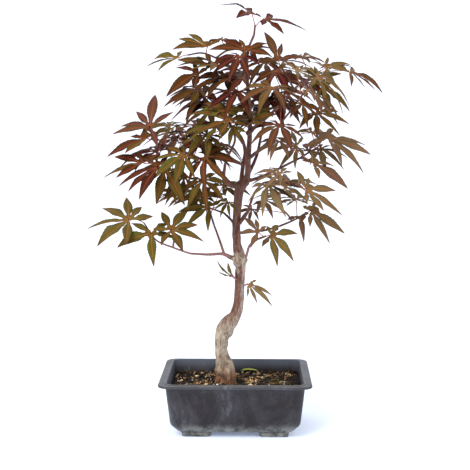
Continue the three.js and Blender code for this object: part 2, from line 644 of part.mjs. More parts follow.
// A leaf with its stalk as one closed solid: the blade's two faces, its edge, and a four-sided stalk.
function makeLeaf(leaf, root, grow = 0) {
  const { side, along, face } = leaf;
  const { skin, faces, edge } = bladeOf(leaf);
  const half = BLADE_THICKNESS / 2 + grow;
  const layer = (offset) => skin.map((point) => point.clone().addScaledVector(face, offset));
  const corners = [...layer(half), ...layer(-half)];
  const count = skin.length;
  const triangles = [];
  for (const [a, b, c] of faces) {
    triangles.push([a, c, b], [a + count, b + count, c + count]);
  }
  for (let i = 0; i + 1 < edge.length; i++) {
    const [a, b] = [edge[i], edge[i + 1]];
    triangles.push([a, b, b + count], [a, b + count, a + count]);
  }
  const left = edge[0];
  const right = edge[edge.length - 1];
  const base = skin[left].clone().lerp(skin[right], 0.5);
  const ring = [left, right, right + count, left + count];
  const towards = root.clone().sub(base).normalize();
  const swing = new THREE.Quaternion().setFromUnitVectors(along.clone().negate(), towards);
  const across = side.clone().applyQuaternion(swing);
  const over = face.clone().applyQuaternion(swing);
  const start = corners.length;
  [[-1, 1], [1, 1], [1, -1], [-1, -1]].forEach(([x, z], i) => {
    const corner = root.clone().addScaledVector(across, x * (STALK_ROOT_HALF + grow));
    corners.push(corner.addScaledVector(over, z * (STALK_ROOT_HALF + grow)));
    const j = (i + 1) % 4;
    triangles.push([ring[i], start + i, start + j], [ring[i], start + j, ring[j]]);
  });
  triangles.push([start, start + 3, start + 2], [start, start + 2, start + 1]);
  return solidFrom(corners, triangles);
}

// Fillers: the middle lobe points away from the twig, and the blade leans up and hangs at its tip.
function fillerLeaves(count, twigCurves, seed) {
  const leaves = [];
  for (let i = 0; i < count; i++) {
    const draw = (channel) => chance(seed * 17 + i, channel);
    const curve = twigCurves[i % twigCurves.length];
    const around = 360 * ((i * FILLER_TURN[0] + draw(1) * FILLER_TURN[1]) % 1);
    const angle = THREE.MathUtils.degToRad(around);
    const rise = between(FILLER_RISE, 1 - draw(2));
    const outward = new THREE.Vector3(Math.cos(angle), Math.sin(angle), rise);
    const centre = curve.getPoint(between(FILLER_ALONG, draw(3)));
    centre.addScaledVector(outward, between(FILLER_REACH, draw(4)));
    leaves.push(posedLeaf(centre, {
      heading: between(FILLER_HEADING, draw(6)),
      lean: between(FILLER_LEAN, draw(5)),
      roll: 0,
      turn: around + 90,
      size: between(FILLER_SIZE, draw(7)),
    }));
  }
  return leaves;
}

// Leaves are placed one by one. One that would cross a piece already there moves along the line of sight.
const SHIFTS = [0, -5, 5, -10, 10, -15, 15, -20, 20, -26, 26, -32, 32];

function meets(solid, box, other) {
  const { min, max } = other.box;
  const apart = [0, 1, 2].some((axis) => box.min[axis] > max[axis] || box.max[axis] < min[axis]);
  return !apart && !solid.intersect(other.solid).isEmpty();
}

const boxed = (solid) => ({ solid, box: solid.boundingBox() });

function growSprays(trunkGrown) {
  const fatTrunk = boxed(trunkGrown);
  const sprays = Object.entries(SPRAYS).map(([name, spray], seed) => {
    const { twigs, leaves = [], traced = [], fillers = 0 } = spray;
    const thick = twigs.map((twig) => {
      return twig.map((point, i) => [...point, TWIG_RADIUS - TWIG_TAPER * i]);
    });
    const curves = twigs.map((twig) => new THREE.CatmullRomCurve3(twig.map(seen)));
    const wood = join(thick.map((twig) => stem(twig, TWIG_SIDES, twig.length)));
    const rows = leaves.map(([across, depth, height, heading, lean, roll, size]) => {
      return posedLeaf(seen([across, depth, height]), { heading, lean, roll, turn: 0, size });
    });
    const all = [...traced.map(tracedLeaf), ...rows, ...fillerLeaves(fillers, curves, seed + 1)];
    all.forEach((leaf, i) => {
      leaf.droop = between(DROOP, chance(seed * 31 + i, 9));
    });
    return { name, curves, wood: boxed(wood), leaves: all, placed: [] };
  });
  for (const spray of sprays) {
    for (const leaf of spray.leaves) {
      const home = leaf.centre;
      const sight = home.clone().sub(EYE).normalize();
      const others = sprays.flatMap((each) => (each === spray ? [] : [each.wood, ...each.placed]));
      const taken = spray.placed.map((other) => other.root);
      const fits = (ownToo) => SHIFTS.some((shift) => {
        leaf.centre = home.clone().addScaledVector(sight, shift);
        leaf.root = rootOf(leaf, spray.curves, taken);
        const whole = makeLeaf(leaf, leaf.root, GAP);
        const box = whole.boundingBox();
        const near = [fatTrunk, ...others, ...(ownToo ? spray.placed : [])];
        return !near.some((other) => meets(whole, box, other));
      });
      if (fits(true) || fits(false)) {
        spray.placed.push({ ...boxed(makeLeaf(leaf, leaf.root)), root: leaf.root });
      }
    }
  }
  return sprays.map(({ name, wood, placed }) => {
    const whole = join([wood.solid, ...placed.map((leaf) => leaf.solid)]);
    return [name, mainBody(whole.subtract(trunkGrown))];
  });
}

// Soil: rings out from the middle, raised in crumbs, with bark chips on top and a hole for the trunk
function soilHeight(x, y) {
  const crumbs = Math.sin(x * 0.41 + 1.3) * Math.sin(y * 0.47);
  const waves = 0.7 * Math.sin(x * 0.23 - y * 0.31 + 2);
  const mound = MOUND_HEIGHT * Math.exp(-((x - MOUND_MIDDLE) ** 2 + y * y) / MOUND_SPREAD);
  return SOIL_TOP + mound + CRUMB_HEIGHT * (crumbs + waves);
}

function makeSoil(trunkGrown) {
  const half = inset(cavityHalf(SOIL_TOP), GAP);
  const rings = [FLOOR_TOP + GAP, CAVITY_LOW, SOIL_TOP].map((z) => {
    return roundedRing(z, inset(cavityHalf(z), GAP), CAVITY_CORNER - GAP);
  });
  for (let ring = 0; ring < SOIL_RINGS; ring++) {
    const share = 1 - (ring + 0.5) / (SOIL_RINGS + 0.6);
    const level = roundedRing(0, [half[0] * share, half[1] * share], CAVITY_CORNER * share);
    level.forEach((point) => point.setZ(soilHeight(point.x, point.y)));
    rings.push(level);
  }
  const chips = [];
  for (let i = 0; i < CHIP_COUNT; i++) {
    const x = (2 * chance(i, 1) - 1) * (half[0] - CHIP_MARGIN);
    const y = (2 * chance(i, 2) - 1) * (half[1] - CHIP_MARGIN);
    const chipLength = between(CHIP_LENGTH, chance(i, 3));
    const chipWidth = between(CHIP_WIDTH, chance(i, 4));
    const chip = new THREE.BoxGeometry(chipLength, chipWidth, CHIP_THICKNESS);
    chip.rotateX(CHIP_TILT * (2 * chance(i, 5) - 1));
    chip.rotateZ(Math.PI * chance(i, 6));
    chip.translate(x, y, soilHeight(x, y));
    chips.push(solidOf(chip));
  }
  return mainBody(join([loft(rings), ...chips]).subtract(trunkGrown));
}

// Fallen leaf lobe behind the trunk
function makeFallenLeaf() {
  const [middleX, middleY, middleZ] = FALLEN_MIDDLE;
  const skin = FALLEN_OUTLINE.map(([x, y]) => {
    return new THREE.Vector3(middleX + x, middleY + y, middleZ - FALLEN_ARCH * x * x);
  });
  const low = skin.map((point) => point.clone().setZ(point.z - FALLEN_THICKNESS));
  return loft([low, skin]);
}

const trunkGrown = makeTrunk(GAP);
const model = new THREE.Group();
model.add(meshOf("pot", makePot(), finish(0x4a4a4d, 0.55)));
model.add(meshOf("soil", makeSoil(trunkGrown), finish(0x3a2a20, 0.95)));
model.add(meshOf("trunk", makeTrunk(), finish(0x9c8672, 0.8)));
model.add(meshOf("fallenLeaf", makeFallenLeaf(), finish(0x9aa83c, 0.6)));
for (const [name, solid] of growSprays(trunkGrown)) {
  model.add(meshOf(`spray_${name}`, solid, finish(0x6b3d2c, 0.6)));
}

const box = new THREE.Box3().setFromObject(model);
model.position.set(-(box.min.x + box.max.x) / 2, -(box.min.y + box.max.y) / 2, -box.min.z);

export default model;
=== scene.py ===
import math
import bpy
import numpy as np
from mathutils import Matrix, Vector, noise
from mathutils.kdtree import KDTree


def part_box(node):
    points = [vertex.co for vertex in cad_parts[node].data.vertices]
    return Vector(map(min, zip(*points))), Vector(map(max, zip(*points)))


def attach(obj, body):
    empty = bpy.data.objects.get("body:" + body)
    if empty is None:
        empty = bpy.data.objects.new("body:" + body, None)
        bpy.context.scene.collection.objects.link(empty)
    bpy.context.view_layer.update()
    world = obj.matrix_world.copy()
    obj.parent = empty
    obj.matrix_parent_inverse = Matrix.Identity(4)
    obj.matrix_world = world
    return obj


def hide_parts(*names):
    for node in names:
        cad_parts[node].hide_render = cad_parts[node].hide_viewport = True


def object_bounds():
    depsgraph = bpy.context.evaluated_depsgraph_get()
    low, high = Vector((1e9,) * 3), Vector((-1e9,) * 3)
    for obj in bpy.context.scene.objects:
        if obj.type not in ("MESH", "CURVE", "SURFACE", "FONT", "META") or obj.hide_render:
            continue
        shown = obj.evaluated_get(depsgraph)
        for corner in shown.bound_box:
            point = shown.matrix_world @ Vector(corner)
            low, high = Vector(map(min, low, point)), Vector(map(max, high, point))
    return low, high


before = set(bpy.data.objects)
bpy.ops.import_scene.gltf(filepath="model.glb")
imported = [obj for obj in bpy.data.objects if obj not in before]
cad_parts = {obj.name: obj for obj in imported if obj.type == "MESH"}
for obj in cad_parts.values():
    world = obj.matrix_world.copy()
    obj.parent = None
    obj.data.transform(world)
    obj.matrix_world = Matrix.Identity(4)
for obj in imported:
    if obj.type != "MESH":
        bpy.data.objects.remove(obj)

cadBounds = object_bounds()
potLow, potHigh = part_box("pot")
potMiddle = np.array([(potLow.x + potHigh.x) / 2, (potLow.y + potHigh.y) / 2, potLow.z])
print("frame loaded")

# where the photograph was taken from: the eye, its turn to the left and dip in degrees, how far off the
# plane of the trunk is, the place there that it looks at, the camera's sensor and the photo's side
view = {
    "eye": (18.4, -924, 303.8), "reach": 922, "turn": 1.2, "dip": 6.6, "middle": (-1, 188),
    "photoSide": 470, "sensor": 36, "clipStart": 0.05,
}

turnAngle = math.radians(view["turn"])
dipAngle = math.radians(view["dip"])
eye = np.array(view["eye"], float)
level = math.cos(dipAngle)
ahead = np.array([-math.sin(turnAngle) * level, math.cos(turnAngle) * level, -math.sin(dipAngle)])
rightward = np.array([math.cos(turnAngle), math.sin(turnAngle), 0])
upward = np.cross(rightward, ahead)


def seen(place):
    # [across, depth, height] as seen from the front, to a point round the pot
    across, depth, height = place
    over, rise = across - view["middle"][0], height - view["middle"][1]
    ray = ahead * view["reach"] + rightward * over + upward * rise
    return eye + ray * ((depth - eye[1]) / ray[1])


sineHash = (12.9898, 78.233, 43758.5453)


def chance(number, draw):
    # a repeatable number from 0 to 1
    wave = math.sin(number * sineHash[0] + draw * sineHash[1]) * sineHash[2]
    return wave - math.floor(wave)


def between(span, share):
    return span[0] + (span[1] - span[0]) * share


def toFrame(points):
    return np.asarray(points, float) / 1000 + potMiddle


# meshes and node trees, the short way


def placed(name, data):
    obj = bpy.data.objects.new(name, data)
    bpy.context.scene.collection.objects.link(obj)
    return obj


def makeMesh(name, points, faces, material=None, edges=()):
    mesh = bpy.data.meshes.new(name)
    mesh.from_pydata([tuple(p) for p in toFrame(points)], edges, faces)
    mesh.validate()
    mesh.shade_smooth()
    if material:
        mesh.materials.append(material)
    return placed(name, mesh)


def joined(parts):
    # the points and faces of several parts as one
    points, faces = [], []
    for partPoints, partFaces in parts:
        start = len(points)
        points.extend(partPoints)
        faces.extend(tuple(i + start for i in face) for face in partFaces)
    return points, faces


def setPointValues(obj, name, values):
    layer = obj.data.attributes.new(name, "FLOAT", "POINT")
    layer.data.foreach_set("value", np.asarray(values, np.float32))


def pointTree(points):
    tree = KDTree(len(points))
    for i, point in enumerate(points):
        tree.insert(Vector(point), i)
    tree.balance()
    return tree


def applied(obj):
    # what the modifiers make, as a plain mesh in the same object
    bpy.context.view_layer.update()
    graph = bpy.context.evaluated_depsgraph_get()
    mesh = bpy.data.meshes.new_from_object(obj.evaluated_get(graph), depsgraph=graph)
    obj.modifiers.clear()
    obj.data = mesh
    return obj


def growNodes(obj, tree, **values):
    # runs a Geometry Nodes tree on obj and keeps the plain mesh that it makes
    modifier = obj.modifiers.new(tree.name, "NODES")
    modifier.node_group = tree
    for item in tree.interface.items_tree:
        if item.item_type == "SOCKET" and item.in_out == "INPUT" and item.name in values:
            modifier[item.identifier] = values[item.name]
    return applied(obj)


def shade(colour):
    # a screen colour, 0 to 255, to a shader's colour; a socket stays as it is
    if isinstance(colour, bpy.types.NodeSocket):
        return colour
    return tuple(((c / 255 + 0.055) / 1.055) ** 2.4 for c in colour) + (1,)


class desk:
    # adds nodes to one tree; an input is a value or the socket that feeds it
    def __init__(self, tree):
        self.tree = tree

    def put(self, kind, inputs=None, **settings):
        node = self.tree.nodes.new(kind)
        for key, value in settings.items():
            setattr(node, key, value)
        for key, value in (inputs or {}).items():
            if isinstance(value, bpy.types.NodeSocket):
                self.tree.links.new(value, node.inputs[key])
            else:
                node.inputs[key].default_value = value
        return node

    def out(self, kind, inputs=None, output=0, **settings):
        return self.put(kind, inputs, **settings).outputs[output]

    def math(self, operation, first, second=0.0):
        return self.out("ShaderNodeMath", {0: first, 1: second}, operation=operation)

    def plus(self, first, second):
        return self.math("ADD", first, second)

    def minus(self, first, second):
        return self.math("SUBTRACT", first, second)

    def times(self, first, second):
        return self.math("MULTIPLY", first, second)

    def most(self, first, second):
        return self.math("MAXIMUM", first, second)

    def offBy(self, value, middle):
        return self.math("ABSOLUTE", self.minus(value, middle))

    def mix(self, share, first, second):
        inputs = {0: share, 6: shade(first), 7: shade(second)}
        return self.out("ShaderNodeMix", inputs, 2, data_type="RGBA")

    def fade(self, value, low, high, start=0.0, end=1.0):
        # from start to end while the value goes from low to high
        inputs = {0: value, 1: low, 2: high, 3: start, 4: end}
        return self.out("ShaderNodeMapRange", inputs, interpolation_type="SMOOTHSTEP")

    def tint(self, base, colour, value, *span):
        # the colour over the base, by a fade of the value
        return self.mix(self.fade(value, *span), base, colour)

    def stretched(self, rise=1.0):
        # object coordinates; a rise under 1 draws patterns out upwards
        where = self.out("ShaderNodeTexCoord", output="Object")
        return self.out("ShaderNodeMapping", {"Vector": where, "Scale": (1, 1, rise)})

    def grain(self, scale, detail=2.0, rough=0.5, warp=0.0, rise=1.0):
        inputs = {"Scale": scale, "Detail": detail, "Roughness": rough, "Distortion": warp}
        return self.out("ShaderNodeTexNoise", {"Vector": self.stretched(rise), **inputs})

    def axis(self, vector, index):
        return self.out("ShaderNodeSeparateXYZ", {0: vector}, index)

    def height(self):
        # millimetres over the underside of the pot's feet
        return self.times(self.minus(self.axis(self.stretched(), 2), potLow.z), 1000)

    def normal(self, index):
        return self.axis(self.out("ShaderNodeNewGeometry", output="Normal"), index)

    def ramp(self, value, stops):
        node = self.put("ShaderNodeValToRGB", {0: value})
        while len(node.color_ramp.elements) < len(stops):
            node.color_ramp.elements.new(0.5)
        for element, (place, colour) in zip(node.color_ramp.elements, stops):
            element.position = place
            element.color = shade(colour)
        return node.outputs[0]

    def value(self, name):
        return self.out("ShaderNodeAttribute", output="Fac", attribute_name=name)

    def vector(self, operation, inputs, output=0):
        return self.out("ShaderNodeVectorMath", inputs, output, operation=operation)


class paint(desk):
    # the nodes of a new material
    def __init__(self, name, roughness, specular):
        self.material = bpy.data.materials.new(name)
        self.material.use_nodes = True
        super().__init__(self.material.node_tree)
        self.shader = self.tree.nodes["Principled BSDF"]
        self.shader.inputs["Roughness"].default_value = roughness
        self.shader.inputs["Specular IOR Level"].default_value = specular

    def feed(self, name, socket):
        self.tree.links.new(socket, self.shader.inputs[name])

    def finish(self, base, relief, depth, strength):
        # the colour, and the relief with its depth in millimetres and its strength
        self.feed("Base Color", base)
        inputs = {"Height": relief, "Distance": depth / 1000, "Strength": strength}
        self.feed("Normal", self.out("ShaderNodeBump", inputs))
        return self.material


def newTree(name, kinds):
    # a Geometry Nodes tree that changes geometry, with more inputs by name and kind
    tree = bpy.data.node_groups.new(name, "GeometryNodeTree")
    for key, kind in {"Geometry": "Geometry", **kinds}.items():
        tree.interface.new_socket(key, in_out="INPUT", socket_type="NodeSocket" + kind)
    tree.interface.new_socket("Geometry", in_out="OUTPUT", socket_type="NodeSocketGeometry")
    nodes = desk(tree)
    return nodes, nodes.put("NodeGroupInput").outputs


def finishTree(nodes, geometry, material):
    # smooth shading and a material for what the tree made
    plain = nodes.out("GeometryNodeRealizeInstances", {0: geometry})
    smooth = nodes.out("GeometryNodeSetShadeSmooth", {0: plain})
    painted = nodes.out("GeometryNodeSetMaterial", {0: smooth, "Material": material})
    nodes.put("NodeGroupOutput", {0: painted})
    return nodes.tree


# curves and tubes

tubeEnd = 0.5
firstSpoke = (0.3, 1, 0.2)
smallestGap = 1e-4


def curvePoint(points, share):
    # a smooth curve through the points, paced by the roots of their gaps, with its ends drawn on
    last = len(points) - 1
    place = last * share
    index = min(int(math.floor(place)), last - 1)
    weight = place - index
    p1, p2 = points[index], points[index + 1]
    p0 = points[index - 1] if index > 0 else 2 * points[0] - points[1]
    p3 = points[index + 2] if index + 2 <= last else 2 * points[last] - points[last - 1]
    pairs = ((p0, p1), (p1, p2), (p2, p3))
    d0, d1, d2 = (max(np.sum((b - a) ** 2) ** 0.25, smallestGap) for a, b in pairs)
    t1 = ((p1 - p0) / d0 - (p2 - p0) / (d0 + d1) + (p2 - p1) / d1) * d1
    t2 = ((p2 - p1) / d1 - (p3 - p1) / (d1 + d2) + (p3 - p2) / d2) * d1
    c2 = -3 * p1 + 3 * p2 - 2 * t1 - t2
    c3 = 2 * p1 - 2 * p2 + t1 + t2
    return p1 + t1 * weight + c2 * weight**2 + c3 * weight**3


def stemLine(rows, steps):
    # centre points and radii along [across, depth, height, radius] rows, steps to each row
    points = [seen(row[:3]) for row in rows]
    shares = np.linspace(0, 1, steps * (len(rows) - 1) + 1)
    line = np.array([curvePoint(points, share) for share in shares])
    return line, np.interp(shares * (len(rows) - 1), range(len(rows)), [row[3] for row in rows])


def tube(line, radii, sides):
    # closed tube with rounded ends; frames carried along the line
    tangents = np.gradient(line, axis=0)
    tangents /= np.linalg.norm(tangents, axis=1)[:, None]
    spoke = np.cross(tangents[0], firstSpoke)
    points, faces = [], []
    for place, tangent, radius in zip(line, tangents, radii):
        spoke = spoke - tangent * np.dot(spoke, tangent)
        spoke /= np.linalg.norm(spoke)
        other = np.cross(tangent, spoke)
        for i in range(sides):
            angle = 2 * math.pi * i / sides
            points.append(place + radius * (spoke * math.cos(angle) + other * math.sin(angle)))
    for ring in range(len(line) - 1):
        for i in range(sides):
            a = ring * sides + i
            b = ring * sides + (i + 1) % sides
            faces.append((a, b, b + sides, a + sides))
    points.append(line[0] - tangents[0] * radii[0] * tubeEnd)
    points.append(line[-1] + tangents[-1] * radii[-1] * tubeEnd)
    end = (len(line) - 1) * sides
    for i in range(sides):
        j = (i + 1) % sides
        faces += [(len(points) - 2, j, i), (len(points) - 1, end + i, end + j)]
    return points, faces


# the tree's lines: across, depth, height and radius in mm as seen from the front

trunkLine = [
    [-10.5, 0, 31, 10.2], [-10.5, 0, 44, 11], [-10.8, 0, 54, 9.9], [-13.6, -1, 66, 7.2], [-15, -2, 76, 6.1],
    [-14.3, -3, 85, 7], [-11, -2, 94, 8.8], [-5.2, -1, 102, 7.7], [-0.5, 0, 108, 6], [2.5, 0, 120, 5.2],
    [3.6, 0, 139, 5], [4.6, 0, 156, 5.3], [4, 0, 164, 6.3], [0.8, 0, 181, 4.3], [0.8, 0, 208, 4],
    [2.6, 0, 228, 4.5], [4.6, 0, 237, 5.4], [11, 0, 246, 3.2], [12, 0, 263, 2.8], [13.5, 2, 284, 2.5],
    [14, 5, 305, 2.2], [12.5, 6, 328, 2], [10.8, 4, 350, 1.7], [12.6, 1, 374, 1.4], [18, 0, 388, 1.2],
]

limbLines = {
    "secondStem": [
        [5, 1, 238, 2.4], [7, 8, 258, 2.1], [9.2, 13, 271, 1.9], [5.5, 17, 285, 1.7], [1, 20, 291, 1.5],
    ],
    "leftBough": [
        [3.5, -1, 236, 3.2], [-6, -4, 239, 3], [-12.5, -8, 246, 2.4], [-20, -12, 255, 1.8],
        [-31, -15, 262, 1.5],
    ],
    "frontTwig": [[-12.5, -8, 246, 1.7], [-10, -14, 262, 1.4], [-1, -24, 283, 1.2], [-4, -34, 295, 1.1]],
    "rightLow": [[0.8, -1, 196, 1.8], [10.5, -8, 209, 1.5], [18.5, -16, 230, 1.3], [27, -22, 240, 1.1]],
    "rightBack": [[0.8, 1, 190, 1.8], [14, 9, 191, 1.5], [30, 14, 193, 1.3], [44, 17, 197, 1.1]],
    "rightBough": [
        [8, 0, 241, 2.2], [22, 2, 245, 1.8], [38, 4, 252, 1.5], [54, 6, 260, 1.3], [64, 7, 265, 1.2],
    ],
    "risingBack": [[11.5, 1, 247, 2], [20.6, 10, 267, 1.6], [25, 20, 287, 1.4], [29, 30, 305, 1.2]],
    "risingFront": [
        [12, -1, 264, 2], [22, -8, 272, 1.7], [34, -16, 283, 1.4], [45, -24, 300, 1.2], [53, -28, 310, 1.1],
    ],
    "upperRight": [
        [13.8, 2, 290, 2], [22, 4, 299, 1.9], [30, 6, 305, 1.7], [41, 9, 315, 1.5], [50, 10, 323, 1.3],
    ],
    "upperLeft": [[11, 4, 347, 1.5], [2, 6, 353, 1.3], [-8, 8, 358, 1.1]],
    "midLeft": [[12.8, 6, 322, 1.7], [2, 2, 328, 1.4], [-8, -4, 331, 1.2]],
    "backLeft": [[7, 8, 258, 1.8], [-8, 24, 266, 1.5], [-24, 38, 271, 1.2]],
    "collarRight": [[4, -1, 160, 2.6], [9, -6, 164, 1.5], [14, -12, 178, 1.3], [22, -17, 184, 1.1]],
    "collarLeft": [
        [4, 0, 162, 2.8], [-6, -3, 166, 2.4], [-13, -5, 169, 1.7], [-28, -9, 168.5, 1.4],
        [-46, -12, 169.5, 1.2],
    ],
    "leftRiser": [[-12, -4, 169.5, 1.5], [-16.5, -2, 183, 1.3], [-22, 2, 198, 1.1]],
    "leftBack": [[0.8, 1, 194, 1.8], [-4, 11, 202, 1.5], [-12, 24, 210, 1.2]],
}

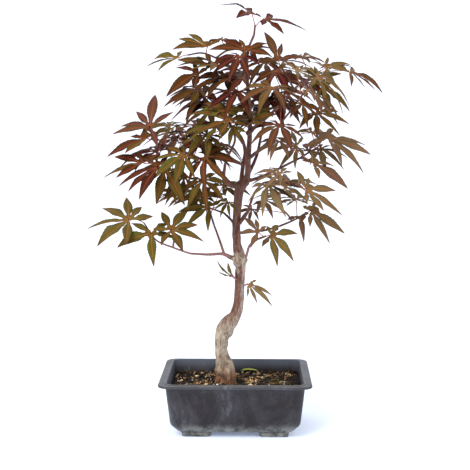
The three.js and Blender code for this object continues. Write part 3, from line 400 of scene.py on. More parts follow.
# twigs are lines. A traced leaf is given by its middle, a lean that makes depth out of height, and each lobe
# tip from there: across, height and, where the lean isn't enough, depth. The other leaves are given by
# middle, heading, lean, roll and size, and fillers are as many more leaves that are drawn.
sprays = {
    "crown": {
        "twigs": [[[18, 0, 388], [18.6, 0, 393], [19, 0, 398]]],
        "traced": [
            [16, -2, 409, 1, [[-16, -4.5, -22], [-34, 13], [-6, 6, 18], [10, -3, 10]]],
            [29, -3, 404.5, 1, [[8, 3, 16], [43, -13, 2], [19, -16, -12], [-3, -7, -12]]],
        ],
    },
    "upperLeft": {
        "twigs": [
            [[-8, 8, 358], [-20, 9, 365], [-34, 8, 370], [-48, 6, 368]],
            [[-20, 9, 365], [-10, 4, 372], [0, 0, 374]],
            [[-8, 8, 358], [-16, -8, 358], [-25, -20, 355]],
        ],
        "traced": [
            [-29, -2, 376, 0.8, [[-35, -3], [-29, 8], [-19, 12.5], [16, 9]]],
            [-58, -4, 365, 0.8, [[-20, -13, -14], [-32, -9, 0], [-24, -1.5, 16], [4, 7, 16]]],
            [10, -14, 373, 0.9, [[-5, -13], [-37, 0], [-23, 9], [-7, 11], [22, 6], [24, -5]]],
            [-25, -19, 357, 0.9, [[-14, -10], [-34, 6], [-5, 13], [15, 7]]],
            [-37, -14, 351, 0.8, [[-6, -17], [-33, -25], [-24, 4], [-6, 8]]],
        ],
        "leaves": [
            [14, -4, 373, 320, 66, -20, 0.7], [-20, -27.5, 358, 140, 74, 15, 1.05],
            [4, -8, 367, 250, 58, 0, 0.85],
            [-14, 2, 383, 60, 70, 0, 0.7],
        ],
    },
    "midLeft": {
        "twigs": [
            [[-8, -4, 331], [-20, -12, 334], [-32, -18, 331]],
            [[-8, -4, 331], [-4, -20, 338], [2, -34, 342]],
        ],
        "leaves": [
            [-36, -26, 333, 170, 66, 0, 0.85], [-32, -36, 327, 190, 62, -20, 1],
            [8, -40, 346, 160, 68, 0, 1],
            [-23, -38, 319, 130, 68, 0, 1.05], [2, -50, 332, 250, 62, 0, 0.95],
            [-10, -30, 345, 200, 62, 0, 0.95],
        ],
    },
    "upperRight": {
        "twigs": [
            [[50, 10, 323], [58, 12, 334], [72, 12, 344], [84, 10, 352]],
            [[58, 12, 334], [50, 8, 348], [44, 4, 358]],
        ],
        "traced": [
            [42, 2, 363, 0.5, [[-20, -2], [-14, 28], [4, 17], [18, 4]]],
            [90, 6, 356, 0.8, [[-14, 5], [2, 10], [25, 2, 10], [24, -6, -8], [2, -14, -14]]],
            [114, 10, 352, 0.8, [[4, 2, 16], [33, -23, 12], [26, -20, -4], [16, -18, -16], [1, -16, -22]]],
            [82, 10, 345, 0.8, [[-16, 2], [-4, 12], [24, 4], [14, -12], [-6, -14]]],
            [86, -4, 336, 0.8, [[-12, 8], [10, 6], [28, -25], [8, -25], [-6, -14]]],
        ],
        "leaves": [
            [47, -4, 362, 20, 66, -12, 0.9], [40, -14, 352, 290, 55, 0, 0.9], [66, 8, 366, 60, 68, 0, 0.8],
            [29, -2, 361, 240, 60, 0, 0.85], [100, 16, 357, 100, 66, 0, 0.6],
        ],
    },
    "rightFront": {
        "twigs": [
            [[53, -28, 310], [60, -32, 320], [68, -34, 330]],
            [[60, -32, 320], [50, -38, 326], [40, -42, 330]],
        ],
        "leaves": [
            [81, -36, 346, 20, 60, 30, 1.1], [71, -46, 333, 30, 74, 32, 1.1],
            [66, -48, 319, 295, 64, 25, 0.75], [36, -52, 336, 250, 60, 0, 1],
            [50, -56, 331, 340, 60, 10, 0.9], [24, -30, 350, 200, 66, 0, 0.9],
            [60, -30, 353, 40, 66, 10, 0.95], [44, -30, 298, 250, 58, 0, 0.9],
            [80, -26, 310, 310, 60, 0, 0.9],
        ],
    },
    "backCrown": {
        "twigs": [
            [[29, 30, 305], [26, 42, 322], [18, 50, 338]],
            [[26, 42, 322], [44, 54, 330], [60, 62, 334]],
        ],
        "leaves": [
            [12, 54, 348, 150, 66, 10, 1], [40, 62, 347, 60, 62, 0, 1], [68, 68, 341, 20, 66, 15, 1],
            [19, 39, 318.5, 240, 62, 0, 0.85],
        ],
        "fillers": 3,
    },
    "middle": {
        "twigs": [[[-4, -34, 295], [-6, -42, 300], [-9, -50, 303]]],
        "leaves": [
            [-7, -58, 302, 140, 50, 25, 1.15], [14, -50, 300, 60, 68, -40, 1],
            [-4, -62, 297, 262, 30, 0, 0.5],
            [-19, -48, 296, 165, 70, -5, 0.95], [-14, -52, 312, 100, 60, 0, 0.9],
            [-28, -40, 288, 230, 60, 0, 0.8],
        ],
    },
    "left": {
        "twigs": [
            [[-31, -15, 262], [-48, -19, 270], [-66, -22, 276], [-80, -24, 285]],
            [[-48, -19, 270], [-62, -26, 264], [-76, -32, 259]],
            [[-31, -15, 262], [-30, -28, 258], [-31, -40, 252]],
        ],
        "traced": [
            [
                -86, -30, 296, 0.7,
                [[8, -21], [-38, -7.5, -12], [-29.5, 0.5, 8], [-14, 15.5], [5, 32], [24, 15]],
            ],
            [-89, -38, 284.5, 0.8, [[-22, -15, -16], [-40, -18.5], [-17, 1.5], [8, 6]]],
            [-93, -44, 260, 0.8, [[-27, -15, -16], [-41, -16, -2], [-29, 6], [-6, 11], [15, 8]]],
            [-78, -50, 256, 0.8, [[-19, -33], [-30, -25], [-40, -20], [-14, 8], [10, 10]]],
            [-71, -46, 255, 0.5, [[25, -10], [20, -38], [-9, -37], [-24, -2]]],
        ],
        "leaves": [
            [-78, -30, 272, 150, 68, 0, 1.1], [-53, -10, 290, 110, 70, 0, 0.75],
            [-62, -40, 231, 200, 50, 0, 0.45],
            [-32, -46, 266, 300, 48, -20, 0.95], [-33, -54, 243, 265, 42, -15, 0.8],
            [-52, -30, 283, 60, 62, 0, 0.9], [-52, -46, 268, 215, 50, 0, 0.95],
            [-66, -14, 297, 140, 64, 0, 0.9], [-36, -22, 281, 250, 60, 0, 0.85],
            [-52, -34, 246, 230, 50, 0, 0.75], [-28, -24, 268, 20, 60, 0, 0.75],
        ],
    },
    "backLeft": {
        "twigs": [[[-24, 38, 271], [-40, 48, 277], [-58, 56, 281]], [[-40, 48, 277], [-46, 64, 288]]],
        "leaves": [[-62, 60, 290, 150, 66, 0, 1], [-40, 41.5, 297.5, 110, 62, 0, 0.9]],
        "fillers": 3,
    },
    "secondTop": {
        "twigs": [[[1, 20, 291], [-10, 22, 304], [-22, 22, 316], [-32, 20, 324]]],
        "leaves": [
            [-38, 16, 331, 150, 68, 0, 1], [-26, 10, 312, 190, 62, -15, 0.95],
            [-8, 16, 320, 90, 62, 0, 0.85],
        ],
    },
    "right": {
        "twigs": [
            [[64, 7, 265], [72, 6, 270], [82, 4, 276]],
            [[64, 7, 265], [70, -8, 264], [76, -20, 262]],
        ],
        "traced": [
            [92, -10, 285, 0.6, [
                [-24, -9], [2, 10, 14], [39, -8, 10], [43, -17, -2], [36, -36, -10], [14, -28, -20],
            ]],
            [77, -30, 260, 0.8, [[-12, 3], [-2, 12], [22, -4, 8], [35, -26, -4], [6, -16, -14]]],
        ],
        "leaves": [
            [61, -8, 277, 185, 20, 0, 0.72], [72, 18, 272, 60, 62, 0, 0.8], [44, 0, 285, 200, 62, 0, 0.9],
            [76, 10, 290, 60, 66, 0, 0.8], [84, -8, 274, 320, 60, 0, 0.8], [43, -10, 282, 250, 64, 0, 0.7],
        ],
    },
    "rightLow": {
        "twigs": [[[27, -22, 240], [38, -28, 242], [52, -34, 240], [64, -38, 236]]],
        "traced": [[70, -46, 234, 0.6, [[-9, 18], [3, 11], [30, -2], [37, -27], [18, -22], [1, -14]]]],
        "leaves": [
            [46, -42, 237.5, 90, 60, 28, 1.05], [44, -34, 249, 150, 62, 0, 0.8],
            [66, -34, 240, 100, 62, 0, 0.6],
            [32, -30, 238, 300, 58, 0, 0.9],
        ],
    },
    "rightBack": {
        "twigs": [
            [[44, 17, 197], [56, 18, 202], [68, 16, 208]],
            [[56, 18, 202], [52, 34, 208], [46, 48, 214]],
        ],
        "traced": [
            [75, 8, 212, 0.7, [[-8, 5], [5.5, 11], [34, -23], [19, -33], [-1, -16]]],
            [64, 4, 207, 1, [[9, 3], [4, -27], [-13, -4]]],
        ],
        "leaves": [
            [60, 24, 223, 100, 66, 0, 0.75], [44, 56, 229, 120, 68, 0, 0.9],
            [28, 22, 223, 330, 64, 0, 0.75],
            [16, 14, 214, 220, 50, 0, 0.5],
        ],
    },
    "lowRight": {
        "twigs": [[[22, -17, 184], [30, -20, 187]]],
        "traced": [
            [22.5, -28, 191, 0.9, [[-8, -16], [-18.5, -1], [-16, 15], [-3, 13], [8, 6]]],
            [35, -26, 188, 0.8, [[-4, 9], [7, 10], [27, 1], [23, -27], [6.5, -32], [-9, -12]]],
        ],
    },
    "lowLeft": {
        "twigs": [
            [[-46, -12, 169.5], [-63, -14, 175.5], [-80, -16, 183], [-92, -18, 200]],
            [[-63, -14, 175.5], [-62, -22, 184], [-62, -28, 189]],
        ],
        "traced": [
            [-107, -26, 203, 1.1, [
                [-3.5, -25], [-32, -27], [-42.5, -9.5], [-27.5, 11.5], [-2.5, 22.5], [13, 13], [24, 3.5],
            ]],
            [-85, -32, 190, 0.8, [[17, 9], [25, -6], [3, -34], [-34, -15], [-20, 9.5]]],
            [
                -65, -38, 193, 0.8,
                [[-18, 1], [-9.5, 18], [17, 19], [27, 5], [33, -12], [12, -22], [-10, -16]],
            ],
        ],
    },
    "leftRiser": {
        "twigs": [[[-22, 2, 198], [-25, 0, 208], [-27, -4, 216]]],
        "traced": [[-27, -12, 216, 0.8, [[-1, -25], [-23, -20], [-31, -5], [-12, 8], [12, 6]]]],
        "leaves": [
            [-8, -8, 221, 240, 40, 0, 0.42], [-34, 6, 227, 150, 60, 0, 0.85], [-13, -2, 237, 40, 60, 0, 0.8],
        ],
    },
    "leftBack": {
        "twigs": [[[-12, 24, 210], [-26, 32, 215], [-42, 42, 220]]],
        "leaves": [[-52, 48, 228, 150, 68, 0, 0.85], [-32, 34, 226, 80, 66, 0, 0.8]],
    },
    "trunkLeft": {
        "twigs": [[[3.7, 0, 142], [-1.6, -5, 145], [-5, -7, 150]]],
        "traced": [[-4, -9, 146, 0.5, [[-15, 6, 10], [-15, 17, 2], [-4, 15, -8]]]],
    },
    "trunkRight": {
        "twigs": [[[3.6, 0, 136], [9, -5, 138], [12, -8, 139]]],
        "traced": [[12.5, -11, 139, 0.6, [[8, 4], [24, -12, 2], [24, -23], [9, -20], [-1, -13]]]],
    },
}

# leaves: each one stands where the plain model's leaf stands, on the same stalk

leafShape = {
    # angle and length of each lobe of a leaf that is given by its pose
    "lobes": ((-120, 0.48), (-80, 0.76), (-40, 0.94), (0, 1), (40, 0.94), (80, 0.76), (120, 0.48)),
    "length": 38, "halfWidth": 0.122, "notch": 0.12, "endSlope": 0.36, "room": 0.96,
    # rows of points over the palm, along a lobe, and columns across it
    "palmRows": (0.4, 0.75), "lobeRows": 20, "columns": (-1, -0.66, -0.24, 0, 0.24, 0.66, 1),
    # share of the way along a lobe, and its half width there
    "outline": (
        (0, 0.08, 0.16, 0.26, 0.38, 0.48, 0.6, 0.72, 0.83, 0.92, 1),
        (0.3, 0.42, 0.64, 0.87, 0.95, 0.9, 0.76, 0.56, 0.37, 0.21, 0.05),
    ),
    "tooth": 0.08, "toothEnd": 0.8, "palmFade": 5, "lobeBlend": 4,
    # half thickness in mm, where it starts to thin out, and the midrib on the underside
    "bladeHalf": 0.24, "thinUnder": 0.05, "midribDepth": 0.22, "midribWidth": 4,
    # how far lobe tips bow back and hang, and how much of that a traced leaf keeps
    "bowBack": 0.17, "hang": 0.16, "droop": (0.75, 1.35), "tracedBow": 0.55, "tipSteps": 6,
    # ranges that each lobe draws from
    "narrow": (0.78, 1.1), "fold": (0.25, 0.85), "twist": (-0.7, 0.7), "arch": (-0.06, 0.2),
    "bend": (-0.2, 0.2), "tracedBend": (-0.06, 0.06), "waveStart": (0, 6),
    "palmFold": 0.22, "ripple": 0.011, "waves": 17, "waveSlant": 1.4, "stalkStart": 0.015,
    # seeds: one for each spray and leaf, and the draw that the plain model's droop comes from
    "spraySeed": 31, "leafSeed": 100, "droopDraw": 9,
    # spread of the tone between leaves and between lobes
    "leafTone": 0.24, "lobeTone": 0.09, "toneSeed": 7,
}

# shifts along the line of sight that the plain model tries, how thick its leaves are and how near their
# tips have to be to take a leaf for the same one
settling = {
    "shifts": (0, -5, 5, -10, 10, -15, 15, -20, 20, -26, 26, -32, 32),
    "half": 0.475, "near": 0.15, "found": 0.6,
}

# leaves at seeded places along the twigs, and the order of their draws
filler = {
    "along": (0.35, 0.95), "reach": (13, 22), "rise": (0.05, 0.35), "turn": (0.382, 0.25),
    "heading": (262, 278), "lean": (52, 76), "size": (0.8, 1.1), "seed": 17,
}
fillerDraws = ("spare", "turn", "rise", "along", "reach", "lean", "heading", "size")


def leafTemplate(count):
    # the grid of a leaf with that many lobes: a row of lobe, palm share, lobe share and column for each
    # point, which points are on its rim, and its faces
    columns = leafShape["columns"]
    last = len(columns) - 1
    table, rim, faces, shared = [(0, 0, 0, 0)], [True], [], []

    def add(lobe, palm, share, column, onRim):
        table.append((lobe, palm, share, column))
        rim.append(onRim)
        return len(table) - 1

    for lobe in range(count):
        grid = []
        for palm in leafShape["palmRows"] + (1,):
            ends = {0: lobe == 0 or palm == 1, last: lobe == count - 1 or palm == 1}
            grid.append([
                shared[len(grid)] if c == 0 and lobe > 0 else add(lobe, palm, 0, column, ends.get(c, False))
                for c, column in enumerate(columns)
            ])
        shared = [line[-1] for line in grid]
        for row in range(1, leafShape["lobeRows"]):
            share = row / leafShape["lobeRows"]
            grid.append([add(lobe, 1, share, column, c in (0, last)) for c, column in enumerate(columns)])
        tip = add(lobe, 1, 1, 0, True)
        for c in range(last):
            faces.append((0, grid[0][c + 1], grid[0][c]))
            faces.append((grid[-1][c], grid[-1][c + 1], tip))
            for near, far in zip(grid, grid[1:]):
                faces.append((near[c], near[c + 1], far[c + 1], far[c]))
    rim = np.array(rim)
    # the lower skin has its own points, but shares the rim's
    lower = np.arange(len(table))
    lower[~rim] = len(table) + np.arange(np.count_nonzero(~rim))
    faces += [tuple(int(lower[i]) for i in reversed(face)) for face in faces]
    return {"table": np.array(table), "rim": rim, "faces": faces}


leafTemplates = {}


def templateOf(leaf):
    count = len(leaf["lobes"])
    if count not in leafTemplates:
        leafTemplates[count] = leafTemplate(count)
    return leafTemplates[count]


def turned(axis, angle):
    c, s = math.cos(math.radians(angle)), math.sin(math.radians(angle))
    if axis == "x":
        return np.array([[1, 0, 0], [0, c, -s], [0, s, c]])
    if axis == "y":
        return np.array([[c, 0, s], [0, 1, 0], [-s, 0, c]])
    return np.array([[c, -s, 0], [s, c, 0], [0, 0, 1]])


def unit(vector):
    return vector / np.linalg.norm(vector, axis=-1, keepdims=True)


def posedLeaf(centre, heading, lean, roll, turn, size):
    # a leaf by its pose: side, along the middle lobe, out of the upper face, and its lobes as arrows
    angle = math.radians(heading)
    pose = turned("z", turn) @ turned("y", roll) @ turned("x", -lean)
    side = pose @ np.array([math.sin(angle), 0, -math.cos(angle)])
    along = pose @ np.array([math.cos(angle), 0, math.sin(angle)])
    angles, lengths = np.array(leafShape["lobes"]).T
    angles = np.radians(angles)[:, None]
    long = leafShape["length"] * size
    lobes = (side * np.sin(angles) + along * np.cos(angles)) * lengths[:, None] * long
    face = pose @ np.array([0, -1, 0])
    return {"centre": centre, "along": along, "face": face, "long": long, "lobes": lobes, "traced": False}


def tracedLeaf(across, depth, height, lean, tips):
    # a leaf by where its lobe tips are seen, clockwise from its stalk
    centre = seen((across, depth, height))
    lobes = []
    for tip in tips:
        behind = tip[2] if len(tip) > 2 else lean * tip[1]
        lobes.append(seen((across + tip[0], depth + behind, height + tip[1])) - centre)
    lobes = np.array(lobes)
    face = unit(np.cross(lobes[1:], lobes[:-1]).sum(axis=0))
    along = unit(lobes).sum(axis=0)
    along = unit(along - face * np.dot(along, face))
    long = np.linalg.norm(lobes, axis=1).max()
    return {"centre": centre, "along": along, "face": face, "long": long, "lobes": lobes, "traced": True}


def drawnLeaf(curve, seed, i):
    # a filler leaf beside a twig
    start = (seed + 1) * filler["seed"] + i
    draw = {key: chance(start, channel) for channel, key in enumerate(fillerDraws)}
    around = 360 * ((i * filler["turn"][0] + draw["turn"] * filler["turn"][1]) % 1)
    outward = np.array([math.cos(math.radians(around)), math.sin(math.radians(around)), 0])
    outward[2] = between(filler["rise"], 1 - draw["rise"])
    along, reach, heading, lean, size = (
        between(filler[key], draw[key]) for key in ("along", "reach", "heading", "lean", "size")
    )
    return posedLeaf(curvePoint(curve, along) + outward * reach, heading, lean, 0, around + 90, size)


def onLeaf(leaf, offsets):
    # places on the bowed blade, from arrows in the flat one
    square = np.sum(np.asarray(offsets) ** 2, axis=-1, keepdims=True)
    return leaf["centre"] + offsets + leaf["bow"] * square


def flatTo(leaf, aims):
    # arrows in the flat blade whose bowed ends come near the aims
    return aims - leaf["bow"] * np.sum(leaf["lobes"] ** 2, axis=1, keepdims=True)


def sprayLeaves(name, seed, twigCurves):
    # the leaves of one spray before they are settled
    spray = sprays[name]
    leaves = [tracedLeaf(*row) for row in spray.get("traced", ())]
    for across, depth, height, heading, lean, roll, size in spray.get("leaves", ()):
        leaves.append(posedLeaf(seen((across, depth, height)), heading, lean, roll, 0, size))
    for i in range(spray.get("fillers", 0)):
        leaves.append(drawnLeaf(twigCurves[i % len(twigCurves)], seed, i))
    for i, leaf in enumerate(leaves):
        luck = chance(seed * leafShape["spraySeed"] + i, leafShape["droopDraw"])
        pull = -leaf["face"] * leafShape["bowBack"] - np.array([0, 0, leafShape["hang"]])
        leaf["bow"] = pull * between(leafShape["droop"], luck) / leaf["long"]
        leaf["seed"] = seed * leafShape["leafSeed"] + i
        leaf["aims"] = leaf["lobes"]
        if leaf["traced"]:
            leaf["lobes"] = flatTo(leaf, leaf["aims"])
    return leaves


def settle(leaf, tree):
    # finds the shift along the line of sight that the plain model's leaf has
    home = leaf["centre"]
    sight = unit(home - eye)
    off = leaf["face"] * settling["half"]
    best = None
    for shift in settling["shifts"]:
        leaf["centre"] = home + sight * shift
        tips = onLeaf(leaf, leaf["lobes"])
        gaps = [tree.find(Vector(tip))[2] for tip in np.vstack([tips + off, tips - off])]
        found = sum(gap < settling["near"] for gap in gaps)
        if found > len(gaps) * settling["found"] and (best is None or found > best[0]):
            best = (found, leaf["centre"])
    leaf["centre"] = best[1] if best else home
    return best is not None


def easeBow(leaf):
    # a flatter bow for a traced leaf, so that each lobe tip ends where the photograph shows it
    leaf["bow"] = leaf["bow"] * leafShape["tracedBow"]
    for _ in range(leafShape["tipSteps"]):
        leaf["lobes"] = flatTo(leaf, leaf["aims"])


def lobeEdges(axes, across):
    # from each lobe's axis to the lines that it shares with its neighbours
    edges = np.array([-across, across]) * leafShape["endSlope"]
    for i in range(len(axes) - 1):
        middle = unit(axes[i] + axes[i + 1])
        middle = middle / np.dot(middle, axes[i])
        edges[1, i], edges[0, i + 1] = middle - axes[i], middle - axes[i + 1]
    return edges


def bladePoints(leaf):
    # upper and lower skin of one leaf, each lobe with its own bend, fold, twist and ripple
    draw = np.random.default_rng(leaf["seed"])
    template = templateOf(leaf)
    lobes, face, long = leaf["lobes"], leaf["face"], leaf["long"]
    lobe, palm, share, column = template["table"].T
    lobe = lobe.astype(int)
    off = np.abs(column)

    def luck(name):
        return draw.uniform(*leafShape[name], len(lobes))[lobe]

    length = np.linalg.norm(lobes, axis=1)[lobe]
    axes = unit(lobes)
    across = unit(np.cross(axes, face))
    notch = leafShape["notch"] * long
    reach = np.where(share > 0, notch + share * (length - notch), palm * notch)
    edge = lobeEdges(axes, across)[(column > 0).astype(int), lobe]
    slope = np.linalg.norm(edge, axis=1)

    # half width: the outline with its teeth, but no wider than the room between neighbours
    outline = leafShape["halfWidth"] * leaf["width"] * np.sqrt(length * long) * luck("narrow")
    outline = outline * np.interp(share, *leafShape["outline"])
    row = np.round(share * leafShape["lobeRows"]).astype(int)
    toothed = (row % 2) * (off == 1) * (share < leafShape["toothEnd"])
    outline = outline * (1 + leafShape["tooth"] * toothed)
    narrow = np.minimum(outline, leafShape["room"] * reach * slope)
    palmHalf = notch * slope * (1 - leafShape["palmFade"] * share)
    half = np.where(share > 0, np.maximum(narrow, palmHalf), palm * notch * slope)

    # outwards from the lobe's axis, at the palm along the shared lines
    blend = np.minimum(share * leafShape["lobeBlend"], 1)
    sideways = across[lobe] * np.where(column < 0, -1, 1)[:, None]
    outward = unit(edge / slope[:, None] * (1 - blend)[:, None] + sideways * blend[:, None])
    arc = share * (1 - share)
    bend = luck("tracedBend" if leaf["traced"] else "bend") * arc * length
    offsets = axes[lobe] * reach[:, None] + outward * (half * off)[:, None] + across[lobe] * bend[:, None]

    # out of the flat
    fold = luck("fold") * share + leafShape["palmFold"] * (1 - share)
    twist = luck("twist") * np.sqrt(share)
    arch = luck("arch") * arc * length
    wave = np.sin(share * leafShape["waves"] + luck("waveStart") + column * leafShape["waveSlant"])
    ripple = leafShape["ripple"] * long * wave * blend * (1 - share) * off
    lift = half * (fold * off + twist * column) + arch + ripple
    middle = onLeaf(leaf, offsets) + face * lift[:, None]
    body = (1 - column**2) * np.minimum(half / (leafShape["thinUnder"] * long), 1)
    up = face * (leafShape["bladeHalf"] * body)[:, None]
    rib = np.maximum(0, 1 - leafShape["midribWidth"] * off) * (1 - reach / length)
    rim = template["rim"]
    upper = middle + up
    lower = middle - up - face * (leafShape["midribDepth"] * rib)[:, None]
    upper[rim] = middle[rim]
    leaf["flat"] = np.column_stack([0.5 + half * column / long, reach / length])
    return np.vstack([upper, lower[~rim]])


def leafLooks(leaf):
    # per point: tone, painted shade and light, nearness to the rim, and underside
    draw = np.random.default_rng(leaf["seed"] + leafShape["toneSeed"])
    template = templateOf(leaf)
    lobe, _, _, column = template["table"].T
    own = leaf["tone"] + draw.normal(0, leafShape["leafTone"])
    own = np.clip(own + draw.normal(0, leafShape["lobeTone"], len(leaf["lobes"])), 0, 1)
    rim = template["rim"]
    cast = np.full(len(lobe), leaf["cast"])
    upper = np.column_stack([own[lobe.astype(int)], cast, np.abs(column), np.where(rim, 0.5, 0)])
    lower = upper[~rim].copy()
    lower[:, 3] = 1
    return np.vstack([upper, lower])


def growLeaves(name, leaves, material):
    # one mesh of all leaves of a spray
    points, faces = joined((bladePoints(leaf), templateOf(leaf)["faces"]) for leaf in leaves)
    low, high = np.array(cadBounds)
    points = (np.clip(toFrame(points), low, high) - potMiddle) * 1000
    obj = makeMesh("leaves_" + name, points, faces, material)
    layer = obj.data.color_attributes.new("look", "FLOAT_COLOR", "POINT")
    looks = np.vstack([leafLooks(leaf) for leaf in leaves])
    layer.data.foreach_set("color", looks.astype(np.float32).ravel())
    places = np.vstack([
        part for leaf in leaves for part in (leaf["flat"], leaf["flat"][~templateOf(leaf)["rim"]])
    ])
    corners = np.empty(len(obj.data.loops), np.int32)
    obj.data.loops.foreach_get("vertex_index", corners)
    uv = obj.data.uv_layers.new(name="lobeMap")
    uv.data.foreach_set("uv", places[corners].astype(np.float32).ravel())
    return obj


# twigs and leaf stalks as lines with a radius and an age, 0 green stalk to 1 old wood
twig = {
    "radius": 1.1, "taper": 0.12, "steps": 7, "age": 0.8, "marks": 14, "spacing": 2.4, "sides": 7,
    # stalks: radius, how much thicker their ends are, how deep they reach into the blade, and their sag
    "stalk": 0.42, "stalkEnds": 0.45, "stalkSink": 0.3, "stalkSteps": 8, "stalkAge": (0.1, 0.35),
    "sag": (-0.6, 1.4), "sagShare": 0.1, "sagMost": 1.5, "sagDraw": 4, "ageDraw": 5,
}


def stalkLine(leaf):
    # a sagging line from the twig to the leaf's base, and its radii
    root = leaf["root"]
    base = onLeaf(leaf, -leaf["along"] * leafShape["stalkStart"] * leaf["long"])
    base = base - leaf["face"] * twig["stalkSink"]
    sag = min(twig["sagMost"], np.linalg.norm(base - root) * twig["sagShare"])
    sag *= between(twig["sag"], chance(leaf["seed"], twig["sagDraw"]))
    middle = (root + base) / 2 + np.array([0, 0, 2 * sag])
    shares = np.linspace(0, 1, twig["stalkSteps"] + 1)[:, None]
    line = (1 - shares) ** 2 * root + 2 * shares * (1 - shares) * middle + shares**2 * base
    return line, twig["stalk"] * (1 + twig["stalkEnds"] * np.abs(2 * shares[:, 0] - 1) ** 3)


def stemNet(name, twigRows, leaves):
    points, edges, radii, ages = [], [], [], []

    def addLine(line, lineRadii, age):
        start = len(points)
        points.extend(line)
        radii.extend(lineRadii)
        ages.extend([age] * len(line))
        edges.extend((start + i, start + i + 1) for i in range(len(line) - 1))

    for rows in twigRows:
        rows = [[*row, twig["radius"] - twig["taper"] * i] for i, row in enumerate(rows)]
        addLine(*stemLine(rows, twig["steps"]), twig["age"])
    for leaf in leaves:
        addLine(*stalkLine(leaf), between(twig["stalkAge"], chance(leaf["seed"], twig["ageDraw"])))
    obj = makeMesh("stems_" + name, points, (), edges=edges)
    setPointValues(obj, "stemRadius", np.array(radii) / 1000)
    setPointValues(obj, "age", ages)
    return obj


def stemTree(material):
    # follows the net's lines with a round tube of each point's radius
    nodes, source = newTree("stemTubes", {"Sides": "Int"})
    radius = nodes.out("GeometryNodeInputNamedAttribute", {"Name": "stemRadius"}, data_type="FLOAT")
    lines = nodes.out("GeometryNodeMeshToCurve", {0: source["Geometry"]})
    profile = nodes.out("GeometryNodeCurvePrimitiveCircle", {0: source["Sides"], 4: 1.0})
    tubes = nodes.out("GeometryNodeCurveToMesh", {0: lines, 1: profile, 2: radius, 3: True})
    return finishTree(nodes, tubes, material)


# trunk and limbs: tubes and swellings melted into one skin

trunk = {
    "sides": 18, "steps": 8, "limbSides": 10, "voxel": 0.56, "smoothing": 3, "smoothFactor": 0.5,
    # middle and radius of the swellings: foot, knee, collars
    "swellings": (
        (-11, 0, 52, 10.6), (-14, -2, 80, 7), (-10, -2, 92, 7.6), (4, -1, 161, 6.9), (8.5, -3.5, 163, 3.4),
        (0.5, -3.6, 160, 3.6), (4.6, 0, 237, 6), (10, -2, 240, 3.4), (12.5, 0, 290, 2.9),
        (11, 3.5, 347, 2.2), (12.2, 5, 322, 2.4),
    ),
    "swellRings": 9, "swellEnd": 0.96, "swellLean": 0.05, "swellSides": 14,
    # surface roots: three places from the foot outwards, and the half width
    "roots": (
        ((-12, 0, 52), (-18, -3, 47), (-21, -5, 42), 4.4), ((-8, 0, 52), (-3, -5, 47), (0, -7, 42), 4.2),
        ((-10, 0, 52), (-6, 6, 47), (-3, 9, 42), 4.2), ((-11, 0, 52), (-14, -7, 47), (-16, -10, 42), 3.8),
        ((-11, 0, 52), (-17, 6, 47), (-20, 9, 42), 4.0),
    ),
    "rootSteps": 12, "rootEnd": 0.45, "rootSides": 12,
    # bark relief in mm on stems at least that thick, and its noises: share, and scales across and upwards
    "barkDepth": 0.6, "fullGirth": 7,
    "lumps": (1.1, 0.13, 0.13), "grooves": (0.7, 0.75, 0.13), "fine": (0.35, 1.9, 0.4),
    "grooveMix": (0.6, 0.4),
    # where a limb starts, in trunk radii from the trunk's middle
    "limbStart": 1.4, "limbSpan": 0.5,
}


def rootTube(start, middle, end, radius):
    bends = np.array([start, middle, end], float)
    line = np.array([curvePoint(bends, share) for share in np.linspace(0, 1, trunk["rootSteps"] + 1)])
    return tube(line, np.linspace(radius, radius * trunk["rootEnd"], len(line)), trunk["rootSides"])


def swelling(across, depth, height, radius):
    rings = np.linspace(-trunk["swellEnd"], trunk["swellEnd"], trunk["swellRings"])
    line = seen((across, depth, height)) + np.outer(rings, [trunk["swellLean"], 0, 1]) * radius
    return tube(line, radius * np.sqrt(1 - rings**2), trunk["swellSides"])


def barkNoise(places, name):
    _, across, rise = trunk[name]
    return np.array([noise.noise(Vector(p)) for p in places * (across, across, rise)])


